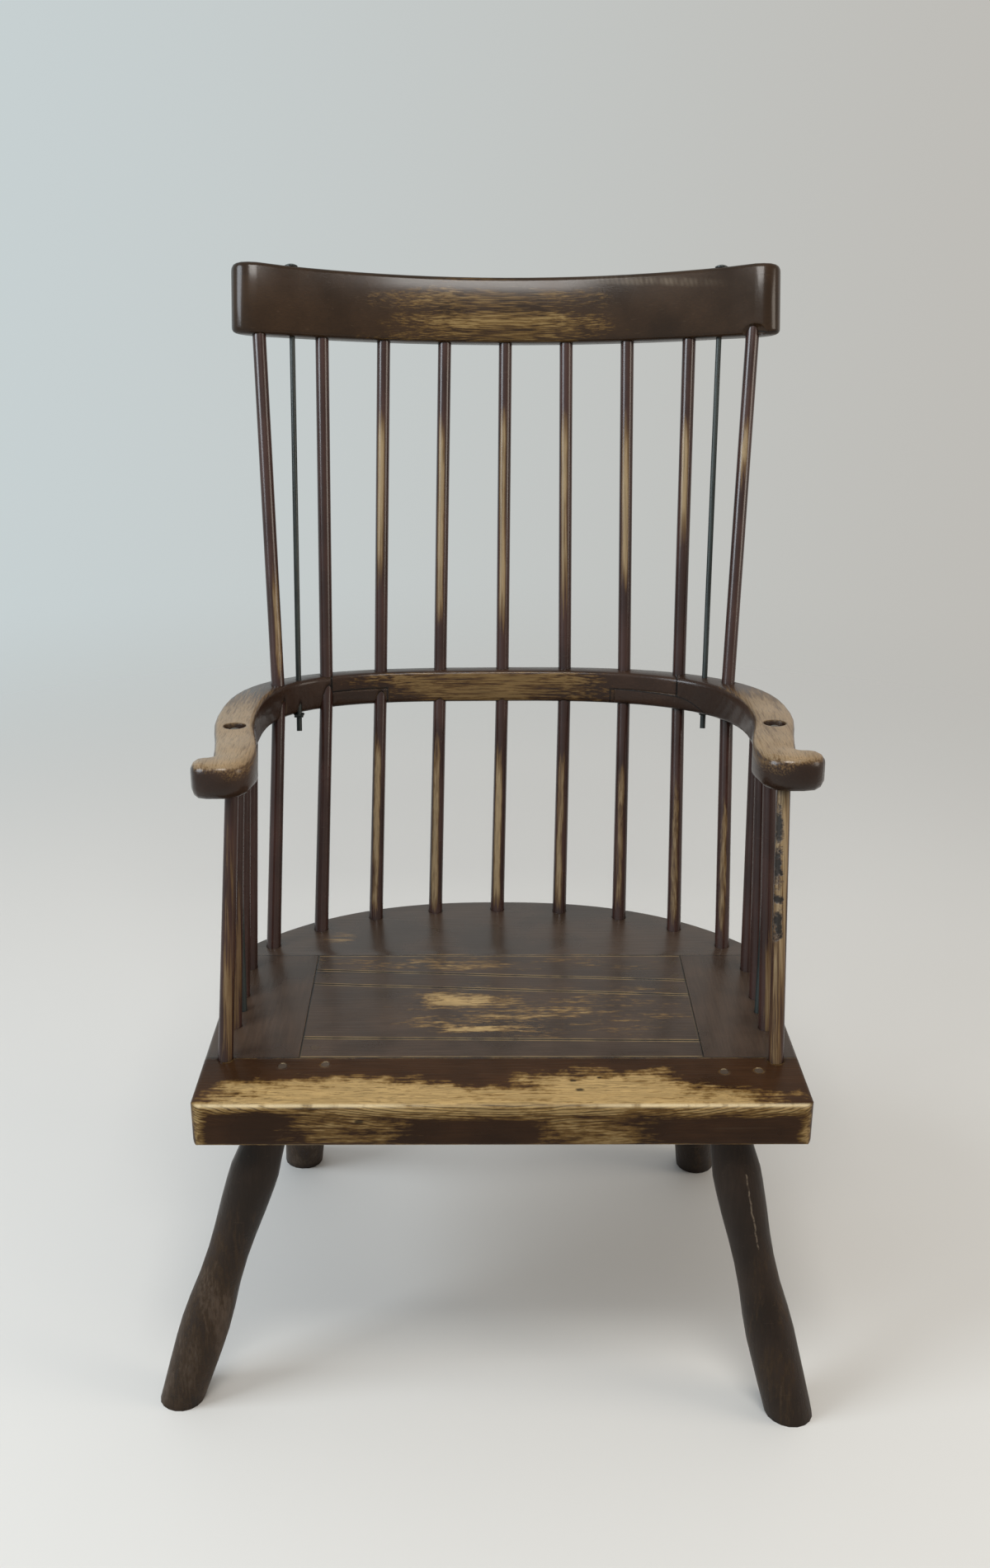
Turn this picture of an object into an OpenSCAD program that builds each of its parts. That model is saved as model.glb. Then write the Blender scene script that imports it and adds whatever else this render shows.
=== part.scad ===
// Comb-back stick armchair with a framed and boarded seat.
// The chair faces -Y, its right arm as seen from the front is on +X, and it stands on Z = 0.
// Inside the modules Y = 0 is the front edge of the seat and X = 0 the middle of that edge.

/* [Seat] */
// Width of the seat along its front edge
seat_w = 624; // [600:1:650]
// Depth of the seat from the front edge to the middle of the back edge
seat_d = 461; // [430:1:500]
// Height of the top of the seat above the floor
seat_h = 370; // [330:1:430]
// Thickness of the seat frame
rail_t = 49; // [46:1:54]
// Depth of the front rail from front to back
front_rail_d = 90; // [80:1:110]
// Width of each side rail
side_rail_w = 100; // [85:1:120]
// Depth of the D-shaped back rail at the middle of its curve
back_rail_d = 142; // [125:1:160]
// How far each side of the seat comes in between the front and the back corner
side_taper = 9; // [0:0.5:16]
// Half width of the oval that the back edge of the seat follows
back_oval_w = 385; // [360:1:420]
// Depth of that oval
back_oval_d = 430; // [400:1:460]
// Squareness of the back edge, 2 for an ellipse and more for a squarer curve
back_oval_n = 2.35; // [2.2:0.05:2.6]
// Radius of the upright front corners of the seat
corner_r = 12; // [6:1:20]
// Radius of the worn top edge of the seat
top_edge_r = 8; // [3:0.5:12]
// Radius of the bottom edge of the seat
low_edge_r = 6; // [2:0.5:10]

/* [Seat joints] */
// Thickness of the tenons of the side rails
tenon_t = 14; // [10:1:18]
// Height of the underside of the tenons above the underside of the seat
tenon_up = 24; // [22:0.5:26]
// Length of the tenons of the side rails
tenon_l = 38; // [25:1:42]
// Wood left beside each tenon, on the inner side of the rail
tenon_shoulder_in = 14; // [10:1:20]
// Wood left beside each tenon, on the outer side of the rail
tenon_shoulder_out = 36; // [32:1:42]
// Gap left at the end and at the faces of each tenon
tenon_gap = 0.2; // [0.1:0.05:0.3]
// Thickness of the seat boards
board_t = 20; // [16:1:24]
// Width of the ledges that the boards lie on
ledge_w = 24; // [18:1:30]
// Gap round the edges of the boards
board_gap = 1; // [0.3:0.1:1.5]
// Diameter of the wooden pegs
peg_d = 9; // [6:0.5:12]
// Length of the pegs of the seat boards
board_peg_l = 34; // [26:1:40]
// Length of the pegs through the rail tenons
rail_peg_l = 23; // [18:1:23]

/* [Back sticks] */
// Diameter of the back sticks at the seat
back_stick_d = 16.6; // [14:0.1:19]
// Diameter of the back sticks where they pass the arm bow
back_stick_bow_d = 15.6; // [13:0.1:18]
// Diameter of the back sticks at the comb
back_stick_top_d = 16; // [13:0.1:18]
// Inset of the stick line from the back edge of the seat
stick_inset = 19; // [16:0.5:24]
// Inset of the outermost back sticks from the sides of the seat
back_stick_in = 46; // [40:1:57]
// Inset of the outermost back sticks from the widest place of the bow
bow_stick_in = 54; // [48:1:65]
// Shift of the row of back sticks on the seat, to the left when below zero
back_stick_shift = -1.5; // [-4:0.5:4]
// Angle step that spaces the sticks closer towards the sides
stick_step = 13.5; // [10:0.5:16]
// Depth of the stick sockets in the seat
seat_socket = 32; // [25:1:38]
// Depth of the stick sockets in the comb
comb_socket = 34; // [25:1:45]
// Gap between a stick and the wall of its hole
fit_gap = 0.15; // [0.1:0.05:0.3]

/* [Arm bow] */
// Height of the top of the arm bow at its back
bow_h = 651; // [600:1:690]
// Rise of the arms towards the front, in degrees
bow_rise = 3.7; // [2.5:0.1:5]
// Height that the right arm gains over the left, in degrees of tilt
bow_tilt = 0.35; // [0:0.05:0.8]
// Thickness of the bow and the arms
bow_t = 39; // [36:0.5:42]
// Width of the bow at the middle of the back
bow_back_w = 25; // [23:0.5:30]
// How far the back of the bow stands behind the seat
bow_overhang = 90; // [80:1:100]
// Half width of the bow over its outer curve
bow_half_w = 321; // [314:1:328]
// Depth of the outer curve of the bow, behind the widest place
bow_curve_d = 213; // [205:1:220]
// Squareness of the line of the stick holes in the bow
hole_line_n = 2.9; // [2.8:0.05:3]
// Squareness of the outer curve at the left
left_outer_n = 3.05; // [2.9:0.05:3.2]
// Squareness of the inner curve at the left
left_inner_n = 3.45; // [3.2:0.05:3.5]
// Squareness of the outer curve at the right
right_outer_n = 2.6; // [2.55:0.05:2.9]
// Squareness of the inner curve at the right
right_inner_n = 2.65; // [2.5:0.05:2.8]
// Width of each arm at its widest place
arm_w = 43; // [40:0.5:46]
// Width of each arm at its neck
neck_w = 44.5; // [42:0.5:48]
// How far the neck comes in from the widest place of the bow
neck_in = 17; // [12:0.5:20]
// Distance of the left neck behind the front edge of the seat
left_neck_y = 188; // [170:1:215]
// Distance of the right neck behind the front edge of the seat
right_neck_y = 203; // [170:1:215]
// Shift of the bow to the right of the middle of the seat
bow_shift = 4.5; // [2:0.5:7]
// Radius of the edges along the bow
bow_edge_r = 5; // [3:0.5:8]
// Radius of the edges of the hand grips
grip_edge_r = 11; // [8:0.5:13]
// Share of the thickness that the hand grips keep
grip_share = 0.96; // [0.88:0.01:1]
// Reach of the right hand grip outside the neck
right_grip_out = 24; // [20:1:30]
// Reach of the left hand grip outside the neck
left_grip_out = 18; // [16:1:26]
// Length of the grips in front of the neck
grip_front = 44; // [40:1:48]
// Left end of the upper half of the centre piece, from the middle of the bow
lap_left_far = 207.5; // [204:0.5:212]
// Left end of the lower half of the centre piece
lap_left_near = 139; // [134:0.5:144]
// Right end of the upper half of the centre piece
lap_right_far = 209.5; // [204:0.5:212]
// Right end of the lower half of the centre piece
lap_right_near = 136.5; // [132:0.5:144]
// Gap at the half-lap joints of the bow
lap_gap = 0.3; // [0.2:0.05:0.6]

/* [Arm sticks] */
// Diameter of the arm sticks at the seat
arm_stick_d = 15.8; // [13:0.1:18]
// Diameter of the arm sticks at the arm
arm_stick_top_d = 14.4; // [12:0.1:17]
// Inset of the left arm sticks from the side of the seat
arm_stick_left_in = 24; // [22:0.5:27]
// Inset of the right arm sticks from the side of the seat
arm_stick_right_in = 26; // [22:0.5:28]
// Distance of the first arm stick behind the front edge of the seat
arm_stick_y = 90; // [84:0.5:96]
// Distance from one arm stick to the next
arm_stick_pitch = 67; // [60:0.5:69]
// Distance that an arm stick leans back between seat and arm
arm_stick_lean = 101; // [92:1:108]
// Depth of the stick sockets in the arms
arm_socket = 22; // [16:1:26]

/* [Comb] */
// Length of the comb from end to end
comb_l = 642; // [635:1:660]
// Height of the comb along its slope
comb_hgt = 84; // [76:1:92]
// Thickness of the comb
comb_t = 25; // [22:0.5:30]
// Depth of the comb's curve over its length
comb_curve = 60; // [45:1:70]
// Lean of the comb, in degrees
comb_lean = 18; // [14:0.5:22]
// Height of the middle of the comb's underside above the floor
comb_z = 1027; // [960:1:1060]
// Distance of that place behind the front edge of the seat
comb_y = 659; // [640:1:680]
// Shift of the comb to the right of the middle of the seat
comb_shift = 8; // [4:0.5:12]
// Radius of the long edges of the comb
comb_edge_r = 6; // [4:0.5:8]
// How far the top of the comb dips in its middle
comb_dip = 6; // [2:0.5:8]
// Distance between the sticks at the comb
comb_pitch = 73.6; // [72:0.2:75]

/* [Legs] */
// Diameter of the tenon at the top of each leg
leg_tenon_d = 32; // [26:1:36]
// Depth of the leg sockets in the underside of the seat
leg_socket = 22; // [18:1:23]
// Distance of the top of the left front leg in from the side of the seat
front_left_in = 73; // [68:1:80]
// Distance of the top of the right front leg in from the side of the seat
front_right_in = 80; // [70:1:84]
// Distance of the tops of the front legs behind the front edge
front_leg_y = 43; // [38:1:46]
// Distance of the tops of the rear legs in from the sides of the seat
rear_leg_in = 87; // [82:1:95]
// Distance of the tops of the rear legs behind the front edge
rear_leg_y = 345; // [340:1:352]
// Sideways splay of the left front leg, from seat to floor
front_left_out = 104; // [70:1:110]
// Forward splay of the left front leg
front_left_forward = 37; // [30:1:65]
// Sideways splay of the right front leg
front_right_out = 75; // [60:1:110]
// Forward splay of the right front leg
front_right_forward = 61; // [30:1:65]
// Sideways splay of the left rear leg
rear_left_out = 31; // [20:1:60]
// Backward splay of the left rear leg
rear_left_back = 104; // [80:1:115]
// Sideways splay of the right rear leg
rear_right_out = 36; // [20:1:60]
// Backward splay of the right rear leg
rear_right_back = 92; // [80:1:115]
// Diameter of a leg just under the seat
leg_top_d = 42; // [38:0.5:48]
// Diameter of the upper swelling
leg_shoulder_d = 50.5; // [46:0.5:56]
// Diameter of the waist
leg_waist_d = 42.5; // [38:0.5:48]
// Diameter of the lower swelling
leg_club_d = 51.5; // [46:0.5:58]
// Diameter of a leg at the floor
leg_foot_d = 46; // [40:0.5:52]

/* [Iron rods] */
// Diameter of the two rods that tie the comb to the arm bow
comb_rod_d = 6.5; // [5:0.1:8]
// Diameter of the domed heads of those rods
comb_rod_head_d = 16; // [12:0.5:20]
// Height of the domed heads
comb_rod_head_h = 4; // [2.5:0.5:6]
// Length of the comb rods that stands out under their nuts
rod_tail = 17.5; // [8:0.5:22]
// Width of the square nuts of the comb rods
comb_nut_w = 10.5; // [9.5:0.5:14]
// Thickness of those nuts
comb_nut_t = 2.5; // [2:0.5:4]
// Diameter of the washers of the comb rods
comb_washer_d = 13; // [12:0.5:17]
// Thickness of those washers
comb_washer_t = 0.8; // [0.6:0.1:1.6]
// Diameter of the two rods that tie the arms to the seat
arm_rod_d = 8; // [6:0.5:10]
// Diameter of the counterbores in the tops of the arms
counterbore_d = 25; // [20:0.5:27]
// Depth of the counterbores
counterbore_h = 9; // [6:0.5:12]
// Diameter of the bolt heads in the counterbores
bolt_head_d = 17; // [13:0.5:19]
// Width of the square nuts of the arm rods
nut_w = 14.5; // [12:0.5:18]
// Thickness of those nuts
nut_t = 4; // [3:0.5:6]
// Diameter of the washers of the arm rods
washer_d = 18; // [15:0.5:20]
// Thickness of those washers
washer_t = 1.2; // [1:0.1:2]
// Length of the arm rods that stands out under their nuts
arm_rod_tail = 3; // [1:0.5:6]

/* [Hidden] */

LEFT = -1;
RIGHT = 1;
far = 1000;
round_fn = 48;
seat_low = seat_h - rail_t;
ledge_z = seat_h - board_t;
back_joint_y = seat_d - back_rail_d;
panel_half_w = seat_w / 2 - side_rail_w;
oval_y = seat_d - back_oval_d;

// Colours of the woods and the iron
dark_wood = [0.23, 0.13, 0.09];
worn_wood = [0.48, 0.32, 0.17];
stick_wood = [0.20, 0.11, 0.10];
leg_wood = [0.16, 0.11, 0.09];
iron = [0.17, 0.19, 0.18];

// Helpers

// Points of a circular arc
function arc(cx, cy, r, from, to, steps) =
    [for (i = [0 : steps]) let (a = from + (to - from) * i / steps) [cx + r * cos(a), cy + r * sin(a)]];

// Depth of a squarish oval at a place x, for half width a, depth b and squareness n
function oval_depth(x, a, b, n) = b * pow(max(0, 1 - pow(min(1, abs(x) / a), n)), 1 / n);

// Outline of a bar with rounded edges, k points to a corner
function bar_outline(w, h, r, k = 4) =
    let (q = min(r, w / 2 - 0.05, h / 2 - 0.05))
    [for (c = [0 : 3]) for (j = [0 : k - 1])
        let (a = 90 * c + 90 * j / (k - 1))
        let (sx = (c == 0 || c == 3) ? 1 : -1)
        let (sy = (c < 2) ? 1 : -1)
        [sx * (w / 2 - q) + q * cos(a), sy * (h / 2 - q) + q * sin(a)]];

// A closed skin over a row of rings that all have the same number of points
module loft(rings) {
    n = len(rings[0]);
    m = len(rings);
    polyhedron(
        points = [for (r = rings) each r],
        faces = [
            [for (i = [0 : n - 1]) i],
            for (j = [0 : m - 2]) for (i = [0 : n - 1])
                [j * n + i, (j + 1) * n + i, (j + 1) * n + (i + 1) % n, j * n + (i + 1) % n],
            [for (i = [n - 1 : -1 : 0]) (m - 1) * n + i]
        ]);
}

// Turn the Z axis into the direction from one point to another, starting at the first
module along(from, to) {
    d = to - from;
    flat = norm([d[0], d[1]]);
    translate(from)
        rotate([0, atan2(flat, d[2]), atan2(d[1], d[0])])
            children();
}

// The same for a round body, turned about its own line so that its seam isn't at the slope
module round_along(from, to) {
    along(from, to)
        rotate([0, 0, 40])
            children();
}

// A round rod from one point to another
module rod(from, to, d) {
    round_along(from, to)
        cylinder(h = norm(to - from), d = d, $fn = round_fn);
}

// Seat outline and what stands on it

module front_shape() {
    half = seat_w / 2;
    back_half = half - side_taper;
    polygon(concat(
        arc(-half + corner_r, corner_r, corner_r, 180, 270, 6),
        arc(half - corner_r, corner_r, corner_r, 270, 360, 6),
        [[back_half, seat_d], [-back_half, seat_d]]));
}

module back_shape() {
    reach = seat_w / 2 + 20;
    steps = 44;
    polygon(concat(
        [[-reach, -1], [reach, -1]],
        [for (i = [0 : steps])
            let (x = reach - 2 * reach * i / steps)
            [x, oval_y + oval_depth(x, back_oval_w, back_oval_d, back_oval_n)]]));
}

module seat_outline() {
    intersection() {
        front_shape();
        back_shape();
    }
}

module seat_slab() {
    translate([0, 0, seat_low])
        linear_extrude(height = rail_t)
            seat_outline();
}

// Long prism along X whose front edges are rounded as the front rail is
module front_edge_prism() {
    translate([-far / 2, 0, seat_low])
        rotate([90, 0, 90])
            linear_extrude(height = far)
                polygon(concat(
                    arc(low_edge_r, low_edge_r, low_edge_r, 180, 270, 5),
                    [[far, 0], [far, rail_t]],
                    arc(top_edge_r, rail_t - top_edge_r, top_edge_r, 90, 180, 5)));
}

// Long prism along Y whose side edges are rounded, turned to follow the taper of one side
module side_edge_prism(side) {
    turn = side * atan2(side_taper, seat_d);
    translate([side * seat_w / 2, 0, seat_low])
        rotate([90, 0, turn])
            mirror([side == RIGHT ? 0 : 1, 0, 0])
                translate([0, 0, -far])
                    linear_extrude(height = 2 * far)
                        polygon(concat(
                            [[-far, 0]],
                            arc(-low_edge_r, low_edge_r, low_edge_r, 270, 360, 5),
                            arc(-top_edge_r / 2, rail_t - top_edge_r / 2, top_edge_r / 2, 0, 90, 5),
                            [[-far, rail_t]]));
}

// Place of the sticks on the seat

function spread(i, reach) = reach * sin(stick_step * i) / sin(stick_step * 4);

function seat_hole(i) =
    let (x = spread(i, seat_w / 2 - back_stick_in))
    let (y = oval_y + oval_depth(x, back_oval_w - stick_inset, back_oval_d - stick_inset, back_oval_n))
    [x + back_stick_shift, y, seat_h];

// Left and right sticks stand a little differently, as set out by hand
function arm_hole(side, i) =
    side == RIGHT ? [seat_w / 2 - arm_stick_right_in, arm_stick_y - 5 + arm_stick_pitch * i, seat_h]
                  : [arm_stick_left_in - seat_w / 2, arm_stick_y + arm_stick_pitch * i, seat_h];

// Arm bow

bow_back_y = seat_d + bow_overhang;
bow_wide_y = bow_back_y - bow_curve_d;
bow_mid_w = bow_half_w - arm_w / 2;
bow_mid_back = bow_back_y - bow_back_w / 2;

// Height of the plane of the bow's top at a place
function bow_top(x, y) =
    bow_h + (bow_back_y - y) * tan(bow_rise) + (x - bow_shift) * tan(bow_tilt);

// Line of the holes along the bow, at a place x from the middle of the bow
function bow_mid_y(x) = bow_wide_y + oval_depth(x, bow_mid_w, bow_mid_back - bow_wide_y, hole_line_n);

// Outer and inner edge of the curved part, for an angle from 0 at the right to 180 at the left
function oval_point(a, b, n, t) =
    [a * sign(cos(t)) * pow(abs(cos(t)), 2 / n), b * pow(abs(sin(t)), 2 / n)];

function bow_edge(outer, t) =
    let (a = outer ? bow_half_w : bow_half_w - arm_w)
    let (b = outer ? bow_curve_d : bow_curve_d - bow_back_w)
    let (left_n = outer ? left_outer_n : left_inner_n)
    let (right_n = outer ? right_outer_n : right_inner_n)
    let (p = oval_point(a, b, t > 90 ? left_n : right_n, t))
    [p[0], bow_wide_y + p[1]];

// One arm in front of the curve, from its widest place to the hand grip.
// Each row is a place on the outer edge, a place on the inner edge, and the share of the thickness.
function arm_rows(neck_y, out) =
    let (neck_x = bow_half_w - neck_in)
    let (in_x = neck_x - neck_w)
    let (run = bow_wide_y - neck_y)
    concat(
        [for (s = [0.2 : 0.2 : 0.8])
            let (ease = (1 - cos(180 * s)) / 2)
            [[bow_half_w - neck_in * ease, bow_wide_y - run * s],
             [bow_half_w - arm_w - (neck_in + neck_w - arm_w) * ease, bow_wide_y - run * s], 1, 0]],
        [
            [[neck_x, neck_y + 9], [in_x, neck_y + 12], (1 + grip_share) / 2, 0.5],
            [[neck_x + 0.4, neck_y + 3], [in_x + 0.5, neck_y - 6], grip_share, 1],
            [[neck_x + 1.5, neck_y - 0.5], [in_x + 4, neck_y - grip_front + 18], grip_share, 1],
            [[neck_x + 3, neck_y - 2], [in_x + 13, neck_y - grip_front + 6], grip_share, 1],
            [[neck_x + 5, neck_y - 2.6], [in_x + 26, neck_y - grip_front + 0.6], grip_share, 1],
            [[neck_x + 0.45 * out, neck_y - 2.6], [neck_x, neck_y - grip_front], grip_share, 1],
            [[neck_x + 0.7 * out, neck_y - 4.5], [neck_x + 0.5 * out, neck_y - grip_front + 2],
             grip_share - 0.02, 1],
            [[neck_x + 0.9 * out, neck_y - 10], [neck_x + 0.8 * out, neck_y - grip_front + 8],
             grip_share - 0.1, 1],
            [[neck_x + out, neck_y - 18], [neck_x + out, neck_y - grip_front + 18], grip_share - 0.35, 1]
        ]);

function flip(rows) =
    [for (i = [len(rows) - 1 : -1 : 0])
        [[-rows[i][0][0], rows[i][0][1]], [-rows[i][1][0], rows[i][1][1]], rows[i][2], rows[i][3]]];

// All rows of the bow, from the left grip round the back to the right grip
function bow_rows() =
    concat(
        flip(arm_rows(left_neck_y, left_grip_out)),
        [for (t = [180 : -5 : 0]) [bow_edge(true, t), bow_edge(false, t), 1, 0]],
        arm_rows(right_neck_y, right_grip_out));

// Ring of the bow's section between an outer and an inner place
function bow_ring(row) =
    let (o = row[0], i = row[1])
    let (w = norm(o - i), m = (o + i) / 2, u = (o - i) / w)
    let (r = bow_edge_r + (grip_edge_r - bow_edge_r) * row[3])
    [for (p = bar_outline(w, bow_t * row[2], r))
        [m[0] + u[0] * p[0], m[1] + u[1] * p[0], p[1] - bow_t / 2]];

// The bow is drawn flat with its top at Z = 0 and then set on the sticks
module set_bow() {
    translate([bow_shift, bow_back_y, bow_h])
        rotate([-bow_rise, -bow_tilt, 0])
            translate([0, -bow_back_y, 0])
                children();
}

module flat_bow() {
    loft([for (row = bow_rows()) bow_ring(row)]);
}

// Region of the centre piece: long upper half, short lower half
module centre_region(gap) {
    lap_y = bow_mid_y(lap_left_far) - 80;
    translate([-lap_left_far - gap, lap_y, -bow_t / 2 - gap])
        cube([lap_left_far + lap_right_far + 2 * gap, far, far]);
    translate([-lap_left_near - gap, lap_y, -far])
        cube([lap_left_near + lap_right_near + 2 * gap, far, 2 * far]);
}

// Sticks of the back

// Inward offset of each hole from the bow's middle line, from the middle stick outwards
bow_hole_in = [0, 0, 1, 3, 9];

function bow_hole(i) =
    let (x = spread(i, bow_half_w - bow_stick_in))
    let (y = bow_mid_y(x) - bow_hole_in[abs(i)])
    [x + bow_shift, y, bow_top(x + bow_shift, y) - bow_t / 2];

// A place in the comb: x along it, z up its slope, y behind the middle of its thickness
comb_r = (pow(comb_l / 2, 2) + pow(comb_curve, 2)) / (2 * comb_curve);

function comb_point(x, y, z) =
    let (a = asin(x / comb_r))
    let (fx = (comb_r + y) * sin(a))
    let (fy = (comb_r + y) * cos(a) - comb_r)
    [fx + comb_shift,
     comb_y + fy * cos(comb_lean) + z * sin(comb_lean),
     comb_z - fy * sin(comb_lean) + z * cos(comb_lean)];

function comb_hole(i) = comb_point(comb_pitch * i, 0, comb_socket);

function comb_top_z(x) = comb_hgt - comb_dip * (1 - pow(2 * x / comb_l, 2));

// A place beyond one end of a line, by the depth of a socket
function beyond(end, other, depth) = end + (end - other) / norm(end - other) * depth;

// A back stick bends slightly at the bow, where it passes its hole.
// Grown copies of its lower and upper half cut its holes.
module half_stick(from, to, start_l, end_l, d_from, d_to, grow) {
    l = norm(to - from);
    end = l + (grow > 0 ? 6 : 0);
    r1 = d_from / 2 + grow;
    r2 = d_to / 2 + grow;
    round_along(from, to)
        rotate_extrude($fn = round_fn)
            polygon([[0, 0], [r1, 0], [r1, start_l], [r2, l - end_l], [r2, end], [0, end]]);
}

function back_stick_foot(i) = beyond(seat_hole(i), bow_hole(i), seat_socket);

module back_stick_low(i, grow = 0) {
    half_stick(back_stick_foot(i), bow_hole(i), seat_socket + 12, bow_t,
        back_stick_d, back_stick_bow_d, grow);
}

module back_stick_high(i, grow = 0) {
    half_stick(comb_hole(i), bow_hole(i), comb_socket + 10, bow_t,
        back_stick_top_d, back_stick_bow_d, grow);
}

module back_stick(i) {
    union() {
        back_stick_low(i);
        back_stick_high(i);
        translate(bow_hole(i))
            sphere(d = back_stick_bow_d + 0.12, $fn = 96);
    }
}

// Sticks of the arms

// Inset of the tops of the arm sticks from the half width of the bow, from the front to the back
left_top_in = [40, 37, 35, 34];
right_top_in = [28, 31, 29, 25];

function arm_top(side, i) =
    let (y = arm_hole(side, i)[1] + arm_stick_lean)
    let (x = side == RIGHT ? bow_half_w - right_top_in[i] : left_top_in[i] - bow_half_w)
    [x, y, bow_top(x, y) - bow_t];

module arm_stick(side, i, grow = 0) {
    from = arm_hole(side, i);
    to = arm_top(side, i);
    foot = beyond(from, to, seat_socket);
    top = beyond(to, from, arm_socket);
    l = norm(top - foot);
    r1 = arm_stick_d / 2 + grow;
    r2 = arm_stick_top_d / 2 + grow;
    round_along(foot, top)
        rotate_extrude($fn = round_fn)
            polygon([[0, 0], [r1, 0], [r1, seat_socket + 14], [r2, l - arm_socket - 12], [r2, l], [0, l]]);
}

// Iron rods

// Each comb rod runs beside the outermost sticks: place at the comb and at the bow
comb_rod_x = [65 - comb_l / 2, comb_l / 2 - 64];
bow_rod_x = [75 - bow_half_w, bow_half_w - 77.5];

function comb_rod_top(k) = comb_point(comb_rod_x[k], 0, comb_top_z(comb_rod_x[k]));

function comb_rod_bow(k) =
    let (x = bow_rod_x[k])
    let (y = bow_mid_y(x))
    [x + bow_shift, y, bow_top(x + bow_shift, y)];

function arm_rod_y(side) = (arm_hole(side, 1)[1] + arm_hole(side, 2)[1]) / 2;

function arm_rod_seat(side) = [side * (seat_w / 2 - 29), arm_rod_y(side), seat_h];

// Each head sits in a counterbore between the second and the third stick of the arm
function arm_rod_arm(side) =
    let (y = arm_rod_y(side) + arm_stick_lean + (side == RIGHT ? 4 : -1))
    let (x = side == RIGHT ? bow_half_w - 22 : 31 - bow_half_w)
    [x, y, bow_top(x, y)];

// Seat pieces

// The boards lie in this space, on the ledges
module board_space() {
    translate([-panel_half_w, front_rail_d, ledge_z])
        cube([2 * panel_half_w, back_joint_y - front_rail_d, far]);
}

// A place in the panel, as a share of the way from the front rail to the back rail
function panel_y(share) = front_rail_d + share * (back_joint_y - front_rail_d);

// Places of the pegs: those of the front rail, and the pegs near the ends of the boards
rail_peg_at = [
    [-panel_half_w - 15, front_rail_d - 16], [29 - panel_half_w, front_rail_d - 13],
    [panel_half_w + 17, front_rail_d - 28], [panel_half_w + 53, front_rail_d - 26]];
board_peg_at = [
    [14 - panel_half_w, panel_y(0.777)], [15 - panel_half_w, panel_y(0.09)],
    [panel_half_w - 11, panel_y(0.917)], [panel_half_w - 12, panel_y(0.786)],
    [panel_half_w - 14, panel_y(0.655)]];

module rail_pegs_shape(grow) {
    for (p = rail_peg_at)
        translate([p[0], p[1], seat_h - rail_peg_l])
            cylinder(h = rail_peg_l + (grow > 0 ? 1 : 0), d = peg_d + 2 * grow, $fn = round_fn);
}

module board_pegs_shape(grow) {
    for (p = board_peg_at)
        translate([p[0], p[1], seat_h - board_peg_l])
            cylinder(h = board_peg_l + (grow > 0 ? 1 : 0), d = peg_d + 2 * grow, $fn = round_fn);
}

// Tenon at one end of a side rail, or the mortise for it
module tenon(side, y_from, y_to, grow) {
    x_in = panel_half_w + tenon_shoulder_in - grow;
    x_out = seat_w / 2 - side_taper - tenon_shoulder_out + grow;
    mirror([side == RIGHT ? 0 : 1, 0, 0])
        translate([x_in, y_from, seat_low + tenon_up - grow])
            cube([x_out - x_in, y_to - y_from, tenon_t + 2 * grow]);
}

module seat_front_rail() {
    color(dark_wood)
        at_origin()
            difference() {
                intersection() {
                    seat_slab();
                    front_edge_prism();
                    side_edge_prism(LEFT);
                    side_edge_prism(RIGHT);
                    union() {
                        translate([-far / 2, 0, 0])
                            cube([far, front_rail_d, far]);
                        translate([-panel_half_w + ledge_w, 0, 0])
                            cube([2 * (panel_half_w - ledge_w), front_rail_d + ledge_w, far]);
                    }
                }
                board_space();
                for (side = [LEFT, RIGHT]) {
                    tenon(side, front_rail_d - tenon_l - tenon_gap, front_rail_d + 1, tenon_gap);
                    arm_stick(side, 0, fit_gap);
                    leg_tenon(side, true, fit_gap);
                }
                rail_pegs_shape(fit_gap);
            }
}

module seat_back_rail() {
    color(dark_wood)
        at_origin()
            difference() {
                intersection() {
                    seat_slab();
                    side_edge_prism(LEFT);
                    side_edge_prism(RIGHT);
                    union() {
                        translate([-far / 2, back_joint_y, 0])
                            cube([far, far, far]);
                        translate([-panel_half_w + ledge_w, back_joint_y - ledge_w, 0])
                            cube([2 * (panel_half_w - ledge_w), far, far]);
                    }
                }
                board_space();
                for (i = [-4 : 4])
                    back_stick_low(i, fit_gap);
                for (side = [LEFT, RIGHT]) {
                    tenon(side, back_joint_y - 1, back_joint_y + tenon_l + tenon_gap, tenon_gap);
                    leg_tenon(side, false, fit_gap);
                }
            }
}

module seat_side_rail(side) {
    low_x = side == RIGHT ? panel_half_w - ledge_w : -far;
    color(dark_wood)
        at_origin()
            difference() {
                union() {
                    intersection() {
                        seat_slab();
                        side_edge_prism(side);
                        translate([low_x, front_rail_d, 0])
                            cube([far - panel_half_w + ledge_w, back_joint_y - front_rail_d, far]);
                    }
                    tenon(side, front_rail_d - tenon_l, front_rail_d + 1, 0);
                    tenon(side, back_joint_y - 1, back_joint_y + tenon_l, 0);
                }
                board_space();
                for (i = [0 : 3])
                    arm_stick(side, i, fit_gap);
                back_stick_low(side == RIGHT ? 4 : -4, fit_gap);
                leg_tenon(side, true, fit_gap);
                leg_tenon(side, false, fit_gap);
                rod(arm_rod_arm(side), arm_rod_end(side), arm_rod_d + 2 * fit_gap);
                rail_pegs_shape(fit_gap);
                board_pegs_shape(fit_gap);
            }
}

// Joint lines of the boards, at the left and at the right
board_joint_left = [for (share = [0, 0.179, 0.699, 0.843, 1]) panel_y(share)];
board_joint_right = [for (share = [0, 0.148, 0.585, 0.734, 1]) panel_y(share)];

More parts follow.
